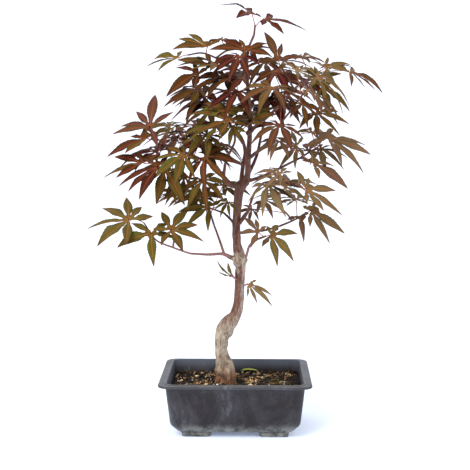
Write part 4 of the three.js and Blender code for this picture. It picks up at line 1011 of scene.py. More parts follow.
def growTrunk(material):
    stems = [stemLine(rows, trunk["steps"]) for rows in (trunkLine, *limbLines.values())]
    parts = [tube(*stem, trunk["limbSides"] if i else trunk["sides"]) for i, stem in enumerate(stems)]
    parts += [rootTube(*row) for row in trunk["roots"]] + [swelling(*row) for row in trunk["swellings"]]
    obj = makeMesh("trunkSkin", *joined(parts))
    melt = obj.modifiers.new("melt", "REMESH")
    melt.mode = "VOXEL"
    melt.voxel_size = trunk["voxel"] / 1000
    melt.use_smooth_shade = True
    ease = obj.modifiers.new("ease", "SMOOTH")
    ease.iterations = trunk["smoothing"]
    ease.factor = trunk["smoothFactor"]
    mesh = applied(obj).data
    co = np.empty(len(mesh.vertices) * 3, np.float32)
    normals = np.empty_like(co)
    mesh.vertices.foreach_get("co", co)
    mesh.vertex_normals.foreach_get("vector", normals)
    co = co.reshape(-1, 3)
    places = (co - potMiddle) * 1000

    # how thick the nearest stem is, and 0 on the trunk and its swellings to 1 out on a limb
    tree = pointTree(np.vstack([line for line, _ in stems]))
    girths = np.concatenate([radii for _, radii in stems])
    girth = girths[[tree.find(Vector(p))[1] for p in places]]
    line, radii = stems[0]
    gaps = np.linalg.norm(places[:, None] - line[None], axis=2)
    out = gaps.min(axis=1) / radii[gaps.argmin(axis=1)]
    limb = np.clip((out - trunk["limbStart"]) / trunk["limbSpan"], 0, 1)

    # fissures run up the stem, lumps don't
    lumps, grooves, fine = (barkNoise(places, name) for name in ("lumps", "grooves", "fine"))
    relief = lumps * trunk["lumps"][0] + grooves * trunk["grooves"][0] + fine * trunk["fine"][0]
    push = trunk["barkDepth"] * np.minimum(girth / trunk["fullGirth"], 1) * relief
    mesh.vertices.foreach_set("co", (co + normals.reshape(-1, 3) * push[:, None] / 1000).ravel())
    mesh.update()
    mesh.materials.append(material)
    groove = grooves * trunk["grooveMix"][0] + fine * trunk["grooveMix"][1]
    for name, values in (("height", places[:, 2]), ("limb", limb), ("girth", girth), ("groove", groove)):
        setPointValues(obj, name, values)
    return obj


bark = {
    # noises: scale, detail, roughness, warp and stretch upwards
    "fissures": (420, 4, 0.65, 0, 0.12), "cloud": (75, 4, 0.6, 0, 0.45), "knots": (260, 5, 0.7, 0.6, 0.5),
    "fine": (1100, 3, 0.6, 0, 0.35),
    "old": ((0, (82, 66, 54)), (0.35, (126, 110, 94)), (0.7, (154, 140, 124)), (1, (178, 168, 154))),
    "stain": ((44, 28, 14), (124, 74, 34)), "middle": ((64, 35, 28), (114, 78, 62)),
    "young": ((60, 30, 26), (112, 70, 54)), "shoot": (132, 92, 88), "paintedLitSide": (160, 146, 134),
    "crack": (70, 48, 40), "pale": (176, 162, 146),
    # heights in mm: the stained foot, red-brown over old bark, young bark over that, the end of the painted
    # light on the side facing right, pale low limbs, the swollen joint and its half height
    "footBand": (78, 58), "middleBand": (100, 124), "youngBand": (222, 262), "paintedLitSideBand": (200, 150),
    "shootBand": (200, 176), "joint": 175, "jointBand": (10, 5), "roughBand": (200, 260),
    # how far the cloud moves the foot's stain and the other bands
    "footWander": 16, "wander": 60,
}


def barkMaterial():
    # pale and fissured low down, red-brown in the middle, dark purple-red on the young limbs
    nodes = paint("mapleBark", 0.75, 0.3)
    height, limb, girth, groove = (nodes.value(name) for name in ("height", "limb", "girth", "groove"))
    noises = ("fissures", "cloud", "knots", "fine")
    fissures, cloud, knots, fine = (nodes.grain(*bark[name]) for name in noises)
    patches = nodes.plus(nodes.times(cloud, 0.45), nodes.times(knots, 0.55))
    old = nodes.ramp(nodes.fade(patches, 0.32, 0.68), bark["old"])
    foot = nodes.fade(nodes.plus(height, nodes.times(cloud, bark["footWander"])), *bark["footBand"])
    base = nodes.mix(nodes.times(foot, 0.9), old, nodes.mix(nodes.fade(knots, 0.4, 0.6), *bark["stain"]))
    middle = nodes.mix(nodes.fade(fissures, 0.34, 0.66), *bark["middle"])
    # painted light: paler in patches on the side that faces right, below a height
    paintedLitSide = nodes.times(nodes.fade(nodes.normal(0), 0.05, 0.6), nodes.fade(knots, 0.36, 0.56, 0.3, 0.95))
    middle = nodes.mix(nodes.times(paintedLitSide, nodes.fade(height, *bark["paintedLitSideBand"])), middle, bark["paintedLitSide"])
    rise = nodes.plus(height, nodes.times(nodes.minus(cloud, 0.5), bark["wander"]))
    base = nodes.tint(base, middle, rise, *bark["middleBand"])
    young = nodes.mix(nodes.fade(cloud, 0.3, 0.7), *bark["young"])
    base = nodes.tint(base, young, rise, *bark["youngBand"])
    shoot = nodes.tint(young, bark["shoot"], height, *bark["shootBand"])
    base = nodes.mix(nodes.times(limb, nodes.fade(girth, 3.2, 2)), base, shoot)
    # the swollen joint is pale again
    joint = nodes.fade(nodes.offBy(rise, bark["joint"]), *bark["jointBand"])
    joint = nodes.times(joint, nodes.fade(limb, 1, 0.3))
    base = nodes.mix(nodes.times(joint, 0.85), base, old)
    crack = nodes.fade(nodes.plus(nodes.times(groove, 0.6), fissures), 0.44, 0.24)
    base = nodes.mix(nodes.times(crack, 0.7), base, bark["crack"])
    base = nodes.tint(base, bark["pale"], fine, 0.56, 0.72, 0, 0.35)
    nodes.feed("Roughness", nodes.fade(rise, *bark["roughBand"], 0.82, 0.5))
    return nodes.finish(base, nodes.plus(nodes.times(fissures, 0.7), nodes.times(fine, 0.3)), 0.9, 0.6)


# pot

pot = {
    # half length, half depth, corner radius, height, and the cut of its corner in the section: from under
    # the floor, up the outside, over the lip and down to the floor inside
    "profile": (
        (50, 35, 7, 5.4, 1), (57.5, 42, 8, 5.4, 1.2), (64.6, 48, 10, 12.8, 2.5), (69, 52.2, 10, 53.6, 0.3),
        (69.3, 52.5, 10, 54.3, 0.4), (74, 53.5, 8.4, 54.3, 0.3), (74.2, 53.6, 8.4, 52.6, 0.4),
        (75.8, 55.1, 10, 52.6, 0.6), (75.4, 54.7, 10, 55.5, 0.9), (69.9, 53, 10, 55.2, 0.5),
        (69.2, 52.3, 10, 56, 0.4), (67.5, 50.7, 8.4, 56, 0.6), (67.2, 50.4, 8.3, 53.5, 1),
        (62.8, 46.2, 8.2, 14.8, 2), (58.8, 42.2, 8, 7.6, 1.5), (20, 12, 8, 7.6, 1),
    ),
    # rows of the profile whose edges are rubbed pale
    "wornCorners": (7, 8, 10, 11), "cornerSteps": 12, "filletSteps": 4, "mostCut": 0.49,
}
drain = {"radius": 4.5, "x": (-36, 0, 36), "y": (-11, 11), "levels": (2, 6, 9), "sides": 24}
# a foot's rounded lower edge: height, and how far in
foot = {
    "half": (14.7, 10.5), "middle": (38.5, 30), "corner": 4, "steps": 6,
    "edge": ((0, 1.4), (0.3, 0.5), (1, 0.1), (2.5, 0), (6.4, -1)),
}


def roundedRing(half, corner, z, steps, middle=(0, 0)):
    ring = []
    for signX, signY, start in ((1, 1, 0), (-1, 1, 90), (-1, -1, 180), (1, -1, 270)):
        for step in range(steps + 1):
            angle = math.radians(start + 90 * step / steps)
            ring.append((
                middle[0] + signX * (half[0] - corner) + corner * math.cos(angle),
                middle[1] + signY * (half[1] - corner) + corner * math.sin(angle), z,
            ))
    return ring


def loft(rings):
    # closed skin over rings with the same number of points; the first face is the lower lid
    count = len(rings[0])
    points = [p for ring in rings for p in ring]
    faces = [tuple(reversed(range(count)))]
    for level in range(len(rings) - 1):
        for i in range(count):
            a, b = level * count + i, level * count + (i + 1) % count
            faces.append((a, b, b + count, a + count))
    faces.append(tuple(range((len(rings) - 1) * count, len(points))))
    return points, faces


def filleted(rows, steps):
    # rounds each corner of a polyline of number rows; the last number is the cut
    rows = [np.array(row, float) for row in rows]
    out = [rows[0][:-1]]
    for before, here, after in zip(rows, rows[1:], rows[2:]):
        place, cut = here[:-1], here[-1]
        ends = []
        for other in (before, after):
            gap = other[:-1] - place
            ends.append(place + gap * min(cut / np.linalg.norm(gap), pot["mostCut"]))
        for t in np.linspace(0, 1, steps + 1):
            out.append((1 - t) ** 2 * ends[0] + 2 * t * (1 - t) * place + t**2 * ends[1])
    out.append(rows[-1][:-1])
    return out


def makePot(material):
    rows = filleted(pot["profile"], pot["filletSteps"])
    rings = [roundedRing(row[:2], row[2], row[3], pot["cornerSteps"]) for row in rows]
    obj = makeMesh("potBody", *loft(rings), material)
    # edges that rub are worn pale along the middle ring of their fillets; all beyond the last is inside
    each = pot["filletSteps"] + 1
    starts = [1 + (corner - 1) * each for corner in pot["wornCorners"]]
    wear = np.zeros(len(rings))
    wear[[start + pot["filletSteps"] // 2 for start in starts]] = 1
    setPointValues(obj, "wear", np.repeat(wear, len(rings[0])))
    setPointValues(obj, "inner", np.repeat(np.arange(len(rings)) > starts[-1], len(rings[0])))
    lines = [np.array([(x, y, z) for z in drain["levels"]], float) for x in drain["x"] for y in drain["y"]]
    radii = [drain["radius"]] * len(drain["levels"])
    cutter = makeMesh("drainCutter", *joined(tube(line, radii, drain["sides"]) for line in lines))
    cut = obj.modifiers.new("drains", "BOOLEAN")
    cut.operation = "DIFFERENCE"
    cut.solver = "EXACT"
    cut.object = cutter
    applied(obj)
    bpy.data.objects.remove(cutter)
    return obj


def footSkin(signX, signY):
    middle = (signX * foot["middle"][0], signY * foot["middle"][1])
    rings = []
    for z, inset in foot["edge"]:
        half = (foot["half"][0] - inset, foot["half"][1] - inset)
        rings.append(roundedRing(half, foot["corner"] - max(inset, 0), z, foot["steps"], middle))
    return loft(rings)


def makeFeet(material):
    return makeMesh("potFeet", *joined(footSkin(x, y) for x in (-1, 1) for y in (-1, 1)), material)


plastic = {
    # noises: scale, detail, roughness, warp and stretch upwards
    "cloud": (38, 4, 0.6), "speck": (420, 2, 0.6), "streak": (150, 4, 0.65, 0, 0.16),
    "dustCloud": (90, 5, 0.7), "rubCloud": (90, 3, 0.6), "smear": (20, 5, 0.7, 0.5, 0.6),
    "black": ((36, 34, 37), (52, 49, 53)), "fleck": (74, 74, 78), "dust": (132, 133, 126),
    "dark": (26, 21, 22), "bloom": (86, 86, 90), "lip": (112, 116, 126), "inside": (88, 96, 110),
    # heights in mm: dust on the tub's foot, the pale lip, and light that falls in over the rim
    "dustBand": (17, 7), "lipBand": (46, 56), "insideBand": (42, 55),
}


def plasticMaterial():
    # matt dark grey plastic: moulded grain, pale rubbed edges, mineral dust low down and on the lip
    nodes = paint("potPlastic", 0.55, 0.25)
    noises = ("cloud", "speck", "streak", "dustCloud", "rubCloud", "smear")
    cloud, speck, streak, dustCloud, rubCloud, smear = (nodes.grain(*plastic[name]) for name in noises)
    height = nodes.height()
    base = nodes.mix(nodes.fade(cloud, 0.3, 0.7), *plastic["black"])
    base = nodes.tint(base, plastic["fleck"], speck, 0.55, 0.75, 0, 0.4)
    low = nodes.times(nodes.fade(height, *plastic["dustBand"]), nodes.fade(dustCloud, 0.38, 0.62, 0.15, 1))
    top = nodes.times(nodes.fade(nodes.normal(2), 0.5, 0.95), nodes.fade(cloud, 0.35, 0.6, 0.1, 0.65))
    dust = nodes.most(nodes.times(low, 0.8), nodes.times(top, 0.2))
    dust = nodes.most(dust, nodes.fade(streak, 0.6, 0.8, 0, 0.35))
    dust = nodes.most(dust, nodes.times(nodes.value("wear"), nodes.fade(rubCloud, 0.3, 0.62, 0.15, 0.8)))
    base = nodes.tint(base, plastic["dark"], smear, 0.48, 0.62, 0, 0.8)
    base = nodes.tint(base, plastic["bloom"], smear, 0.48, 0.34, 0, 0.7)
    base = nodes.tint(base, plastic["lip"], height, *plastic["lipBand"], 0, 0.16)
    sky = nodes.times(nodes.value("inner"), nodes.fade(height, *plastic["insideBand"], 0, 0.6))
    base = nodes.mix(dust, nodes.mix(sky, base, plastic["inside"]), plastic["dust"])
    nodes.feed("Roughness", nodes.fade(cloud, 0.3, 0.7, 0.4, 0.62))
    return nodes.finish(base, nodes.plus(nodes.times(cloud, 0.5), nodes.times(speck, 0.35)), 0.5, 0.5)


# soil, with what lies on it

soil = {
    "top": 43.6, "crumb": 0.75, "mound": 2.2, "moundMiddle": -10, "spread": 500, "gap": 0.4,
    # heights at the ends of the cavity's walls, and half its length and depth there
    "walls": (14.8, 56), "halfX": (62.8, 67.4), "halfY": (46.2, 50.6),
    "rings": 54, "cornerSteps": 34, "corner": 7.8, "marks": 300,
    # height and how far in from the wall of the rings under the top
    "low": ((8, 6), (14.8, 1), (41.6, 0.5)),
    # crumbs of the plain soil: one wave by its scales and its start, another by its share, scales and start
    "crumbWave": (0.41, 0.47, 1.3), "slantWave": (0.7, 0.23, 0.31, 2),
    # relief over it: share, scale and slice of the lumps and of the grit, and how far it is let down
    "lumps": (0.9, 0.32, 3), "roughness": (0.8, 2.1, 5), "grit": (0.35, 1.3, 9), "settled": 0.3,
    # shares of the top that bits lie on, and the rings of a patch
    "bitRings": (0.96, 0.7, 0.45, 0.2, 0.02), "patchRings": (1, 0.6, 0.2), "patchSteps": 5,
}


def cavityHalf(z):
    # half length and half depth inside the pot
    low, high = soil["walls"]
    share = (z - low) / (high - low)
    return between(soil["halfX"], share), between(soil["halfY"], share)


def soilHeight(x, y):
    # the plain model's soil
    across, deep, start = soil["crumbWave"]
    crumbs = math.sin(x * across + start) * math.sin(y * deep)
    share, across, deep, start = soil["slantWave"]
    crumbs += share * math.sin(x * across - y * deep + start)
    mound = soil["mound"] * math.exp(-((x - soil["moundMiddle"]) ** 2 + y * y) / soil["spread"])
    return soil["top"] + mound + soil["crumb"] * crumbs


def groundHeight(x, y):
    lump, lumpScale, lumpSlice = soil["lumps"]
    grit, gritScale, gritSlice = soil["grit"]
    lump *= noise.fractal(Vector((x, y, lumpSlice)) * lumpScale, *soil["roughness"])
    grit *= noise.noise(Vector((x, y, gritSlice)) * gritScale)
    return soilHeight(x, y) + lump + grit - soil["settled"]


def soilRings(shares):
    half = [side - soil["gap"] for side in cavityHalf(soil["top"])]
    rings = []
    for share in shares:
        ring = roundedRing([side * share for side in half], soil["corner"] * share, 0, soil["cornerSteps"])
        # corners hold most points, so the sides are filled in evenly
        line = np.array(ring + ring[:1])
        steps = np.r_[0, np.cumsum(np.linalg.norm(np.diff(line, axis=0), axis=1))]
        marks = np.linspace(0, steps[-1], soil["marks"], endpoint=False)
        xs, ys = (np.interp(marks, steps, line[:, k]) for k in range(2))
        rings.append([(x, y, groundHeight(x, y)) for x, y in zip(xs, ys)])
    return rings


def makeSoil(material):
    outer = soilRings([1])[0]
    top = cavityHalf(soil["top"])
    rings = []
    for z, inset in soil["low"]:
        half = cavityHalf(z)
        wide, deep = (half[0] - inset) / top[0], (half[1] - inset) / top[1]
        rings.append([(x * wide, y * deep, z) for x, y, _ in outer])
    shares = [1 - ring / soil["rings"] for ring in range(soil["rings"])]
    return makeMesh("soilBody", *loft(rings + soilRings(shares)), material)


def soilTop():
    # the part of the soil that bits lie on
    points, faces = loft(soilRings(soil["bitRings"]))
    return points, faces[1:]


def soilPatch(x, y, radius):
    sizes = [radius * share for share in soil["patchRings"]]
    rings = [roundedRing((size, size), size, 0, soil["patchSteps"], (x, y)) for size in sizes]
    points, faces = loft([[(px, py, groundHeight(px, py)) for px, py, _ in ring] for ring in rings])
    return points, faces[1:]


bit = {"wobble": 2.3, "sides": (3, 3, 2), "turn": 6.28, "grain": (700, 3, 0.65), "dirt": (40, 26, 18)}


def scatterTree(name, material):
    # scatters bits of one kind over the soil, each with its own size, turn and luck
    nodes, source = newTree(name, {
        "Density": "Float", "Seed": "Int", "Smallest": "Vector", "Largest": "Vector", "Tilt": "Float",
        "Rough": "Float", "Lift": "Float",
    })
    seed = source["Seed"]

    def luck(low, high):
        return nodes.out("FunctionNodeRandomValue", {0: low, 1: high, 8: seed}, data_type="FLOAT_VECTOR")

    inputs = {0: source["Geometry"], 4: source["Density"], 6: seed}
    spots = nodes.out("GeometryNodeDistributePointsOnFaces", inputs)
    cube = nodes.out("GeometryNodeMeshCube", {0: (1, 1, 1), **dict(enumerate(bit["sides"], 1))})
    place = nodes.out("GeometryNodeInputPosition")
    inputs = {"Vector": place, "Scale": bit["wobble"], "Detail": 2.0}
    wobble = nodes.out("ShaderNodeTexNoise", inputs, "Color")
    shift = nodes.vector("SUBTRACT", {0: wobble, 1: (0.5, 0.5, 0.5)})
    shift = nodes.vector("SCALE", {0: shift, "Scale": source["Rough"]})
    lump = nodes.out("GeometryNodeSetPosition", {0: cube, 3: shift})
    tilts = nodes.out("ShaderNodeCombineXYZ", {0: source["Tilt"], 1: source["Tilt"], 2: 1.0})
    angles = nodes.vector("MULTIPLY", {0: luck((-1, -1, 0), (1, 1, bit["turn"])), 1: tilts})
    turn = nodes.out("FunctionNodeEulerToRotation", {0: angles})
    inputs = {0: spots, 2: lump, 5: turn, 6: luck(source["Smallest"], source["Largest"])}
    bits = nodes.out("GeometryNodeInstanceOnPoints", inputs)
    own = nodes.out("FunctionNodeRandomValue", {2: 0.0, 3: 1.0, 8: seed}, 1, data_type="FLOAT")
    inputs = {0: bits, 2: "luck", 3: own}
    marked = nodes.out("GeometryNodeStoreNamedAttribute", inputs, data_type="FLOAT", domain="INSTANCE")
    rise = nodes.out("ShaderNodeCombineXYZ", {2: source["Lift"]})
    raised = nodes.out("GeometryNodeTranslateInstances", {0: marked, 2: rise, 3: False})
    return finishTree(nodes, raised, material)


# materials of what grows, and of the soil

leafPaint = {
    # noises: scale, detail, roughness and warp
    "mottle": (190, 3, 0.6), "blotch": (62, 2, 0.5, 0.4),
    # colours by tone, 0 dark maroon to 1 bronze green
    "middle": ((0, (76, 24, 24)), (0.3, (90, 40, 24)), (0.6, (102, 66, 26)), (1, (98, 80, 28))),
    "margin": ((0, (48, 16, 18)), (0.3, (66, 40, 20)), (0.6, (78, 72, 30)), (1, (84, 87, 38))),
    "heart": ((84, 30, 24), (116, 76, 34)), "veins": ((128, 66, 50), (156, 112, 58)),
    "through": ((160, 56, 24), (176, 128, 36)),
    "tip": (78, 46, 42), "spots": (40, 18, 18), "underside": (112, 80, 64),
    # the last three are painted: shade for leaves inside the tree, light that makes leaves that stand free
    # paler, and shade in the gaps between leaves
    "shadow": (40, 13, 11), "paintedPaleLight": (150, 126, 100), "closed": (30, 11, 11),
    # half width of the midrib at the stalk and at the tip, and side veins: along the lobe and their slant
    "midrib": (0.0075, 0.001), "ribEdge": 0.003, "sideVeins": 19, "veinSlant": 17,
    # how far the painted gap shade looks for other geometry, and how much light comes through the blade
    "closedReach": 0.016, "lightThrough": 0.2,
}


def leafMaterial():
    nodes = paint("mapleLeaf", 0.55, 0.03)
    looks = nodes.put("ShaderNodeAttribute", attribute_name="look").outputs
    tone, cast, rim = nodes.put("ShaderNodeSeparateColor", {0: looks["Color"]}).outputs
    where = nodes.out("ShaderNodeUVMap", uv_map="lobeMap")
    across, along = nodes.axis(where, 0), nodes.axis(where, 1)
    off = nodes.offBy(across, 0.5)
    mottle, blotch = nodes.grain(*leafPaint["mottle"]), nodes.grain(*leafPaint["blotch"])
    wander = nodes.times(nodes.minus(blotch, 0.5), 1.4)
    toRim = nodes.fade(nodes.plus(nodes.fade(rim, 0.1, 0.95), wander), 0.15, 0.85)
    base = nodes.mix(toRim, nodes.ramp(tone, leafPaint["middle"]), nodes.ramp(tone, leafPaint["margin"]))
    base = nodes.tint(base, nodes.mix(tone, *leafPaint["heart"]), along, 0.3, 0.04, 0, 0.7)
    base = nodes.tint(base, leafPaint["tip"], along, 0.72, 0.98, 0, 0.6)
    base = nodes.tint(base, nodes.mix(0.6, base, leafPaint["spots"]), mottle, 0.35, 0.7, 0, 0.4)
    # midrib and the side veins that leave it forwards
    ribHalf = nodes.fade(along, 0, 1, *leafPaint["midrib"])
    midrib = nodes.fade(nodes.minus(off, ribHalf), leafPaint["ribEdge"], 0)
    flow = nodes.minus(nodes.times(along, leafPaint["sideVeins"]), nodes.times(off, leafPaint["veinSlant"]))
    gap = nodes.offBy(nodes.math("FRACT", flow), 0.5)
    side = nodes.times(nodes.fade(gap, 0.11, 0.02), nodes.fade(rim, 0.95, 0.6))
    veins = nodes.most(nodes.times(midrib, 0.75), nodes.times(side, 0.24))
    base = nodes.mix(veins, base, nodes.mix(tone, *leafPaint["veins"]))
    base = nodes.tint(base, nodes.mix(0.45, base, leafPaint["underside"]), looks["Alpha"], 0.5, 0.75)
    # painted shade: leaves inside the tree are darker; painted light: the ones that stand free at the right
    # are duller and paler
    base = nodes.tint(base, leafPaint["shadow"], cast, 0.5, 1, 0, 0.7)
    base = nodes.tint(base, leafPaint["paintedPaleLight"], cast, 0.5, 0, 0, 0.45)
    # painted shade: darker where other leaves are near, found by ambient occlusion
    inputs = {"Distance": leafPaint["closedReach"]}
    closed = nodes.out("ShaderNodeAmbientOcclusion", inputs, "AO", samples=6)
    base = nodes.tint(base, leafPaint["closed"], closed, 0.75, 0.25, 0, 0.75)
    nodes.feed("Roughness", nodes.fade(blotch, 0.3, 0.7, 0.42, 0.6))
    nodes.finish(base, nodes.minus(nodes.times(mottle, 0.25), nodes.most(midrib, side)), 0.3, 0.5)
    # some light comes through the blade
    glow = nodes.mix(0.6, base, nodes.mix(tone, *leafPaint["through"]))
    light = nodes.out("ShaderNodeBsdfTranslucent", {"Color": glow})
    inputs = {0: leafPaint["lightThrough"], 1: nodes.shader.outputs[0], 2: light}
    output = nodes.tree.nodes["Material Output"]
    nodes.tree.links.new(nodes.out("ShaderNodeMixShader", inputs), output.inputs["Surface"])
    return nodes.material


stemPaint = {
    "cloud": (160, 3, 0.6), "grain": (900, 2), "young": ((132, 60, 50), (168, 96, 62)),
    "old": ((72, 39, 36), (104, 64, 56)), "low": (150, 108, 104), "lowBand": (200, 178),
}


def stemMaterial():
    # red-brown stalks, darker twigs, and paler old wood low on the tree
    nodes = paint("mapleStem", 0.55, 0.25)
    cloud = nodes.fade(nodes.grain(*stemPaint["cloud"]), 0.35, 0.7)
    old = nodes.mix(cloud, *stemPaint["old"])
    old = nodes.tint(old, stemPaint["low"], nodes.height(), *stemPaint["lowBand"])
    base = nodes.tint(nodes.mix(cloud, *stemPaint["young"]), old, nodes.value("age"), 0.15, 0.75)
    return nodes.finish(base, nodes.grain(*stemPaint["grain"]), 0.3, 0.4)


earth = {
    "crumbs": (260, 5, 0.7), "grit": (1040, 3, 0.7), "damp": ((5, 3, 2), (24, 16, 11)),
    "speck": (150, 112, 78),
}


def earthMaterial():
    # damp crumbly soil
    nodes = paint("soilEarth", 0.95, 0.2)
    crumbs, grit = nodes.grain(*earth["crumbs"]), nodes.grain(*earth["grit"])
    base = nodes.mix(nodes.fade(crumbs, 0.35, 0.68), *earth["damp"])
    base = nodes.tint(base, earth["speck"], grit, 0.6, 0.74, 0, 0.7)
    return nodes.finish(base, nodes.plus(nodes.times(crumbs, 0.7), nodes.times(grit, 0.3)), 1.4, 0.9)


def bitMaterial(name, colours):
    # bits that take their own colour from a row of colours, with grain
    nodes = paint(name, 0.8, 0.25)
    grain = nodes.grain(*bit["grain"])
    last = len(colours) - 1
    base = nodes.ramp(nodes.value("luck"), [(i / last, colour) for i, colour in enumerate(colours)])
    base = nodes.tint(base, nodes.mix(0.6, base, bit["dirt"]), grain, 0.35, 0.7, 0, 0.55)
    return nodes.finish(base, grain, 0.5, 0.6)


# the fallen lobe on the soil

fallen = {
    "middle": (13.5, 43, 46.5), "length": 18.5, "half": 3.6, "arch": 0.01, "thickness": 0.45, "rows": 26,
    "columns": (-1, -0.6, -0.2, 0, 0.2, 0.6, 1), "tooth": 0.07, "bend": 0.5, "fold": 0.25, "sink": 0.3,
    "leastHalf": 0.06, "leastThickness": 0.02, "blunt": 0.75, "stalkwards": (1.15, 0.8),
    "green": ((120, 134, 48), (168, 172, 72)), "cloud": (130, 3, 0.6),
}


def makeFallenLeaf(material):
    rows, columns = fallen["rows"], fallen["columns"]
    upper, lower, faces = [], [], []
    for row in range(rows + 1):
        share = row / rows
        width = fallen["half"] * math.sin(math.pi * min(share * 1.02, 1)) ** fallen["blunt"]
        width = width * between(fallen["stalkwards"], share) + fallen["leastHalf"]
        width *= 1 + fallen["tooth"] * (row % 2)
        x = (share - 0.5) * fallen["length"]
        for column in columns:
            y = width * column + fallen["bend"] * math.sin(share * 3)
            z = -fallen["arch"] * x * x + fallen["fold"] * abs(column) * width - fallen["sink"]
            body = fallen["thickness"] / 2 * (1 - column * column)
            place = np.array(fallen["middle"]) + (x, y, z)
            upper.append(place + (0, 0, body))
            lower.append(place - (0, 0, body + fallen["leastThickness"]))
    count = len(upper)
    wide = len(columns)
    for row in range(rows):
        for c in range(wide - 1):
            a = row * wide + c
            faces.append((a + 1, a + wide + 1, a + wide, a))
            faces.append((a + count, a + wide + count, a + wide + 1 + count, a + 1 + count))
        a, b = row * wide, row * wide + wide - 1
        faces += [(a, a + wide, a + wide + count, a + count), (b + count, b + wide + count, b + wide, b)]
    for start in (0, rows * wide):
        ring = [start + c for c in range(wide)] + [start + c + count for c in reversed(range(wide))]
        faces.append(tuple(ring) if start == 0 else tuple(reversed(ring)))
    return makeMesh("fallenLobe", upper + lower, faces, material)


def fallenMaterial():
    nodes = paint("fallenLobe", 0.5, 0.4)
    cloud = nodes.grain(*fallen["cloud"])
    return nodes.finish(nodes.mix(nodes.fade(cloud, 0.35, 0.65), *fallen["green"]), cloud, 0.4, 0.5)


# everything in its place

# for each spray: how much painted light makes its leaves duller and paler, how broad their lobes are, and
# how green they are, 0 dark maroon to 1 bronze green: the spray's own tone, then its traced leaves in turn
sprayLooks = {
    "crown": (0, 1.12, 0.4, 0.25, 0.75),
    "upperLeft": (0.2, 1, 0.3, 0.6, 0.95, 0.2, 0.45, 0.5),
    "midLeft": (0, 1.1, 0.5),
    "upperRight": (0.5, 0.92, 0.3, 0.45, 0.5, 0.85, 0.8, 0.65),
    "rightFront": (0.5, 0.92, 0.6),
    "backCrown": (0, 1.2, 0.12),
    "middle": (0.35, 1.12, 0.7),
    "left": (0.35, 1, 0.5, 0.25, 0.3, 0.5, 0.45, 0.75),
    "backLeft": (0.3, 1, 0.35),
    "secondTop": (0, 0.85, 0.35),
    "right": (1, 0.9, 0.6, 0.75, 0.6),
    "rightLow": (1, 0.92, 0.6, 0.45),
    "rightBack": (0.9, 0.85, 0.65, 0.7, 0.5),
    "lowRight": (0.6, 1.12, 0.85, 0.9, 0.95),
    "lowLeft": (0.25, 1.16, 0.95, 0.95, 0.9, 1),
    "leftRiser": (0.3, 1, 0.75, 0.8),
    "leftBack": (0.3, 1, 0.5),
    "trunkLeft": (0.3, 0.75, 1, 1),
    "trunkRight": (0.8, 0.62, 0.9, 0.85),
}

# a leaf is in shadow by the number of leaves nearer than that and higher by that
crowding = {"near": 40, "above": 3, "most": 9}


def handOver(pieces, node):
    for piece in pieces:
        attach(piece, "root")
        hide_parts(node)


def settledLeaves(name, seed):
    # the leaves of a spray that the plain model has, each with its tone and its place on a twig
    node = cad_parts["spray_" + name]
    tree = pointTree([(np.array(node.matrix_world @ v.co) - potMiddle) * 1000 for v in node.data.vertices])
    curves = [[seen(row) for row in rows] for rows in sprays[name]["twigs"]]
    shares = [mark / twig["marks"] for mark in range(1, twig["marks"] + 1)]
    spots = [curvePoint(curve, share) for curve in curves for share in shares]
    tones = sprayLooks[name][2:]
    leaves = []
    for i, leaf in enumerate(sprayLeaves(name, seed, curves)):
        if not settle(leaf, tree):
            print("no place for leaf", i, "of", name)
            continue
        leaf["tone"] = tones[min(i + 1, len(tones) - 1)] if leaf["traced"] else tones[0]
        taken = [other["root"] for other in leaves]
        free = [p for p in spots if all(np.linalg.norm(p - root) > twig["spacing"] for root in taken)]
        leaf["root"] = min(free, key=lambda p: np.linalg.norm(p - leaf["centre"]))
        leaves.append(leaf)
    return leaves


def dressLeaf(leaf, name, middles):
    # its painted shade and light, 0.5 plain, more painted shade the more leaves stand over it, less where
    # its spray is painted paler, and its lobes' width
    paintedPaleLight, leaf["width"] = sprayLooks[name][:2]
    gaps = middles - leaf["centre"]
    over = (np.linalg.norm(gaps, axis=1) < crowding["near"]) & (gaps[:, 2] > crowding["above"])
    leaf["cast"] = 0.5 + 0.5 * min(np.count_nonzero(over) / crowding["most"], 1) - 0.5 * paintedPaleLight
    if leaf["traced"]:
        easeBow(leaf)


grown = {name: settledLeaves(name, seed) for seed, name in enumerate(sprays)}
middles = np.array([leaf["centre"] for leaves in grown.values() for leaf in leaves])
leafMade = leafMaterial()
stemTubes = stemTree(stemMaterial())
for name, leaves in grown.items():
    for leaf in leaves:
        dressLeaf(leaf, name, middles)
    handOver([growLeaves(name, leaves, leafMade)], "spray_" + name)
    net = stemNet(name, sprays[name]["twigs"], leaves)
    handOver([growNodes(net, stemTubes, Sides=twig["sides"])], "spray_" + name)
print("leaves and stems grown:", len(middles))

skin = growTrunk(barkMaterial())
handOver([skin], "trunk")
print("trunk grown:", len(skin.data.polygons), "faces")

potMade = plasticMaterial()
handOver([makePot(potMade), makeFeet(potMade)], "pot")
print("pot moulded")

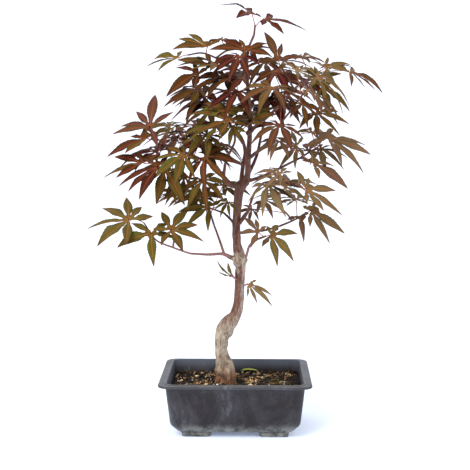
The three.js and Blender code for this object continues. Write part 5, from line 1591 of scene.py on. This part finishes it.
# where moss and peat lie: x, y and radius
mossPatches = ((40, 6, 8), (51, -3, 6), (-19, -9, 6), (2, 12, 5), (-45, -30, 7))
peatPatches = ((17, 9, 9), (-34, -2, 10), (-52, -20, 7), (30, -30, 8))
scatters = {
    # patches or the whole top, density per square metre, smallest and largest size in mm, tilt, roughness,
    # lift in mm, colours
    "barkBits": (
        None, 8000, (2.2, 1.4, 0.5), (7.5, 3.8, 1.6), 0.45, 0.4, 0.35,
        ((16, 10, 7), (56, 36, 21), (146, 108, 64), (208, 184, 142), (84, 58, 34)),
    ),
    "crumbs": (
        None, 70000, (0.7, 0.6, 0.5), (2.3, 1.9, 1.6), 1.5, 0.8, 0.1,
        ((4, 3, 2), (10, 7, 5), (34, 22, 15), (120, 90, 58)),
    ),
    "grit": (
        None, 3500, (1.1, 0.9, 0.8), (3.1, 2.4, 2.0), 1.5, 0.7, 0.4,
        ((84, 74, 62), (132, 120, 104), (176, 168, 154), (222, 216, 206)),
    ),
    "straws": (
        None, 2600, (4, 0.4, 0.3), (12, 0.9, 0.6), 0.25, 0.12, 1.0,
        ((84, 58, 32), (150, 116, 68), (204, 174, 124), (120, 86, 50)),
    ),
    "moss": (
        mossPatches, 420000, (0.4, 0.4, 0.4), (1.1, 1.0, 1.5), 1.2, 0.8, 0.1,
        ((22, 20, 9), (58, 52, 22), (100, 90, 42), (142, 124, 74)),
    ),
    "peat": (
        peatPatches, 260000, (0.7, 0.5, 0.4), (2.4, 1.5, 1.1), 1.4, 0.7, 0.3,
        ((28, 16, 9), (112, 66, 34), (164, 122, 72), (220, 196, 152)),
    ),
}
firstSeed = 3


def scattered(name, seed):
    patches, density, smallest, largest, tilt, rough, lift, colours = scatters[name]
    emitter = makeMesh(name, *(joined(soilPatch(*row) for row in patches) if patches else soilTop()))
    return growNodes(
        emitter, scatterTree(name + "Tree", bitMaterial(name, colours)), Density=density, Seed=seed,
        Smallest=[side / 1000 for side in smallest], Largest=[side / 1000 for side in largest],
        Tilt=tilt, Rough=rough, Lift=lift / 1000,
    )


handOver([makeSoil(earthMaterial())], "soil")
handOver([scattered(name, firstSeed + i) for i, name in enumerate(scatters)], "soil")
handOver([makeFallenLeaf(fallenMaterial())], "fallenLeaf")
print("soil scattered")

# floor, light and camera

studio = {
    # near the pot and far from it, in metres: colour, and light that the paper gives off by itself
    "reach": (0.35, 1.5), "floor": ((218, 226, 240), (253, 253, 253)), "glow": (0.26, 0.42),
    "glowColour": (206, 220, 255), "floorRoughness": 0.7, "world": (244, 243, 242), "worldLight": 0.9,
    # the paper: its edges in front, at the sides and at the top, and where and how it curves up, in mm
    "front": 8000, "half": 9000, "top": 7000, "back": 6000, "radius": 1500, "steps": 16,
    # lamps: place, what they are aimed at, size, watts and colour
    "lamps": {
        "keyLamp": ((-620, -760, 900), (0, 0, 220), (700, 700), 17, (1, 0.98, 0.95)),
        "fillLamp": ((900, -520, 420), (0, 0, 200), (700, 900), 6, (0.94, 0.97, 1)),
        "backLamp": ((120, 520, 900), (0, 0, 260), (900, 500), 4, (1, 0.98, 0.95)),
    },
}


def makeSweep():
    # floor that curves up behind the tree
    line = [(-studio["front"], 0)]
    for angle in np.linspace(0, math.pi / 2, studio["steps"] + 1):
        rise = studio["radius"] * (1 - math.cos(angle))
        line.append((studio["back"] + studio["radius"] * math.sin(angle), rise))
    line.append((line[-1][0], studio["top"]))
    points = [(x, y, z) for y, z in line for x in (-studio["half"], studio["half"])]
    faces = [(2 * i, 2 * i + 1, 2 * i + 3, 2 * i + 2) for i in range(len(line) - 1)]
    nodes = paint("paper", studio["floorRoughness"], 0.2)
    away = nodes.vector("LENGTH", {0: nodes.stretched()}, "Value")
    nodes.feed("Base Color", nodes.mix(nodes.fade(away, *studio["reach"]), *studio["floor"]))
    nodes.shader.inputs["Emission Color"].default_value = shade(studio["glowColour"])
    nodes.feed("Emission Strength", nodes.fade(away, *studio["reach"], *studio["glow"]))
    makeMesh("sweep", points, faces, nodes.material)


def addLamp(name, place, aim, size, watts, colour):
    data = bpy.data.lights.new(name, "AREA")
    data.shape = "RECTANGLE"
    data.size, data.size_y = size[0] / 1000, size[1] / 1000
    data.energy = watts
    data.color = colour
    lamp = placed(name, data)
    lamp.location = toFrame(place)
    lamp.rotation_euler = (Vector(aim) - Vector(place)).to_track_quat("-Z", "Y").to_euler()


makeSweep()
for name, row in studio["lamps"].items():
    addLamp(name, *row)
scene = bpy.context.scene
scene.world = bpy.data.worlds.new("studioWorld")
scene.world.use_nodes = True
sky = scene.world.node_tree.nodes["Background"]
sky.inputs["Color"].default_value = shade(studio["world"])
sky.inputs["Strength"].default_value = studio["worldLight"]
scene.view_settings.view_transform = "Standard"

lens = bpy.data.cameras.new("photoCamera")
lens.sensor_width = view["sensor"]
lens.lens = view["sensor"] * view["reach"] / view["photoSide"]
lens.clip_start = view["clipStart"]
camera = placed("photoCamera", lens)
camera.location = toFrame(eye)
camera.rotation_euler = (math.radians(90 - view["dip"]), 0, turnAngle)
scene.camera = camera
print("stage set")
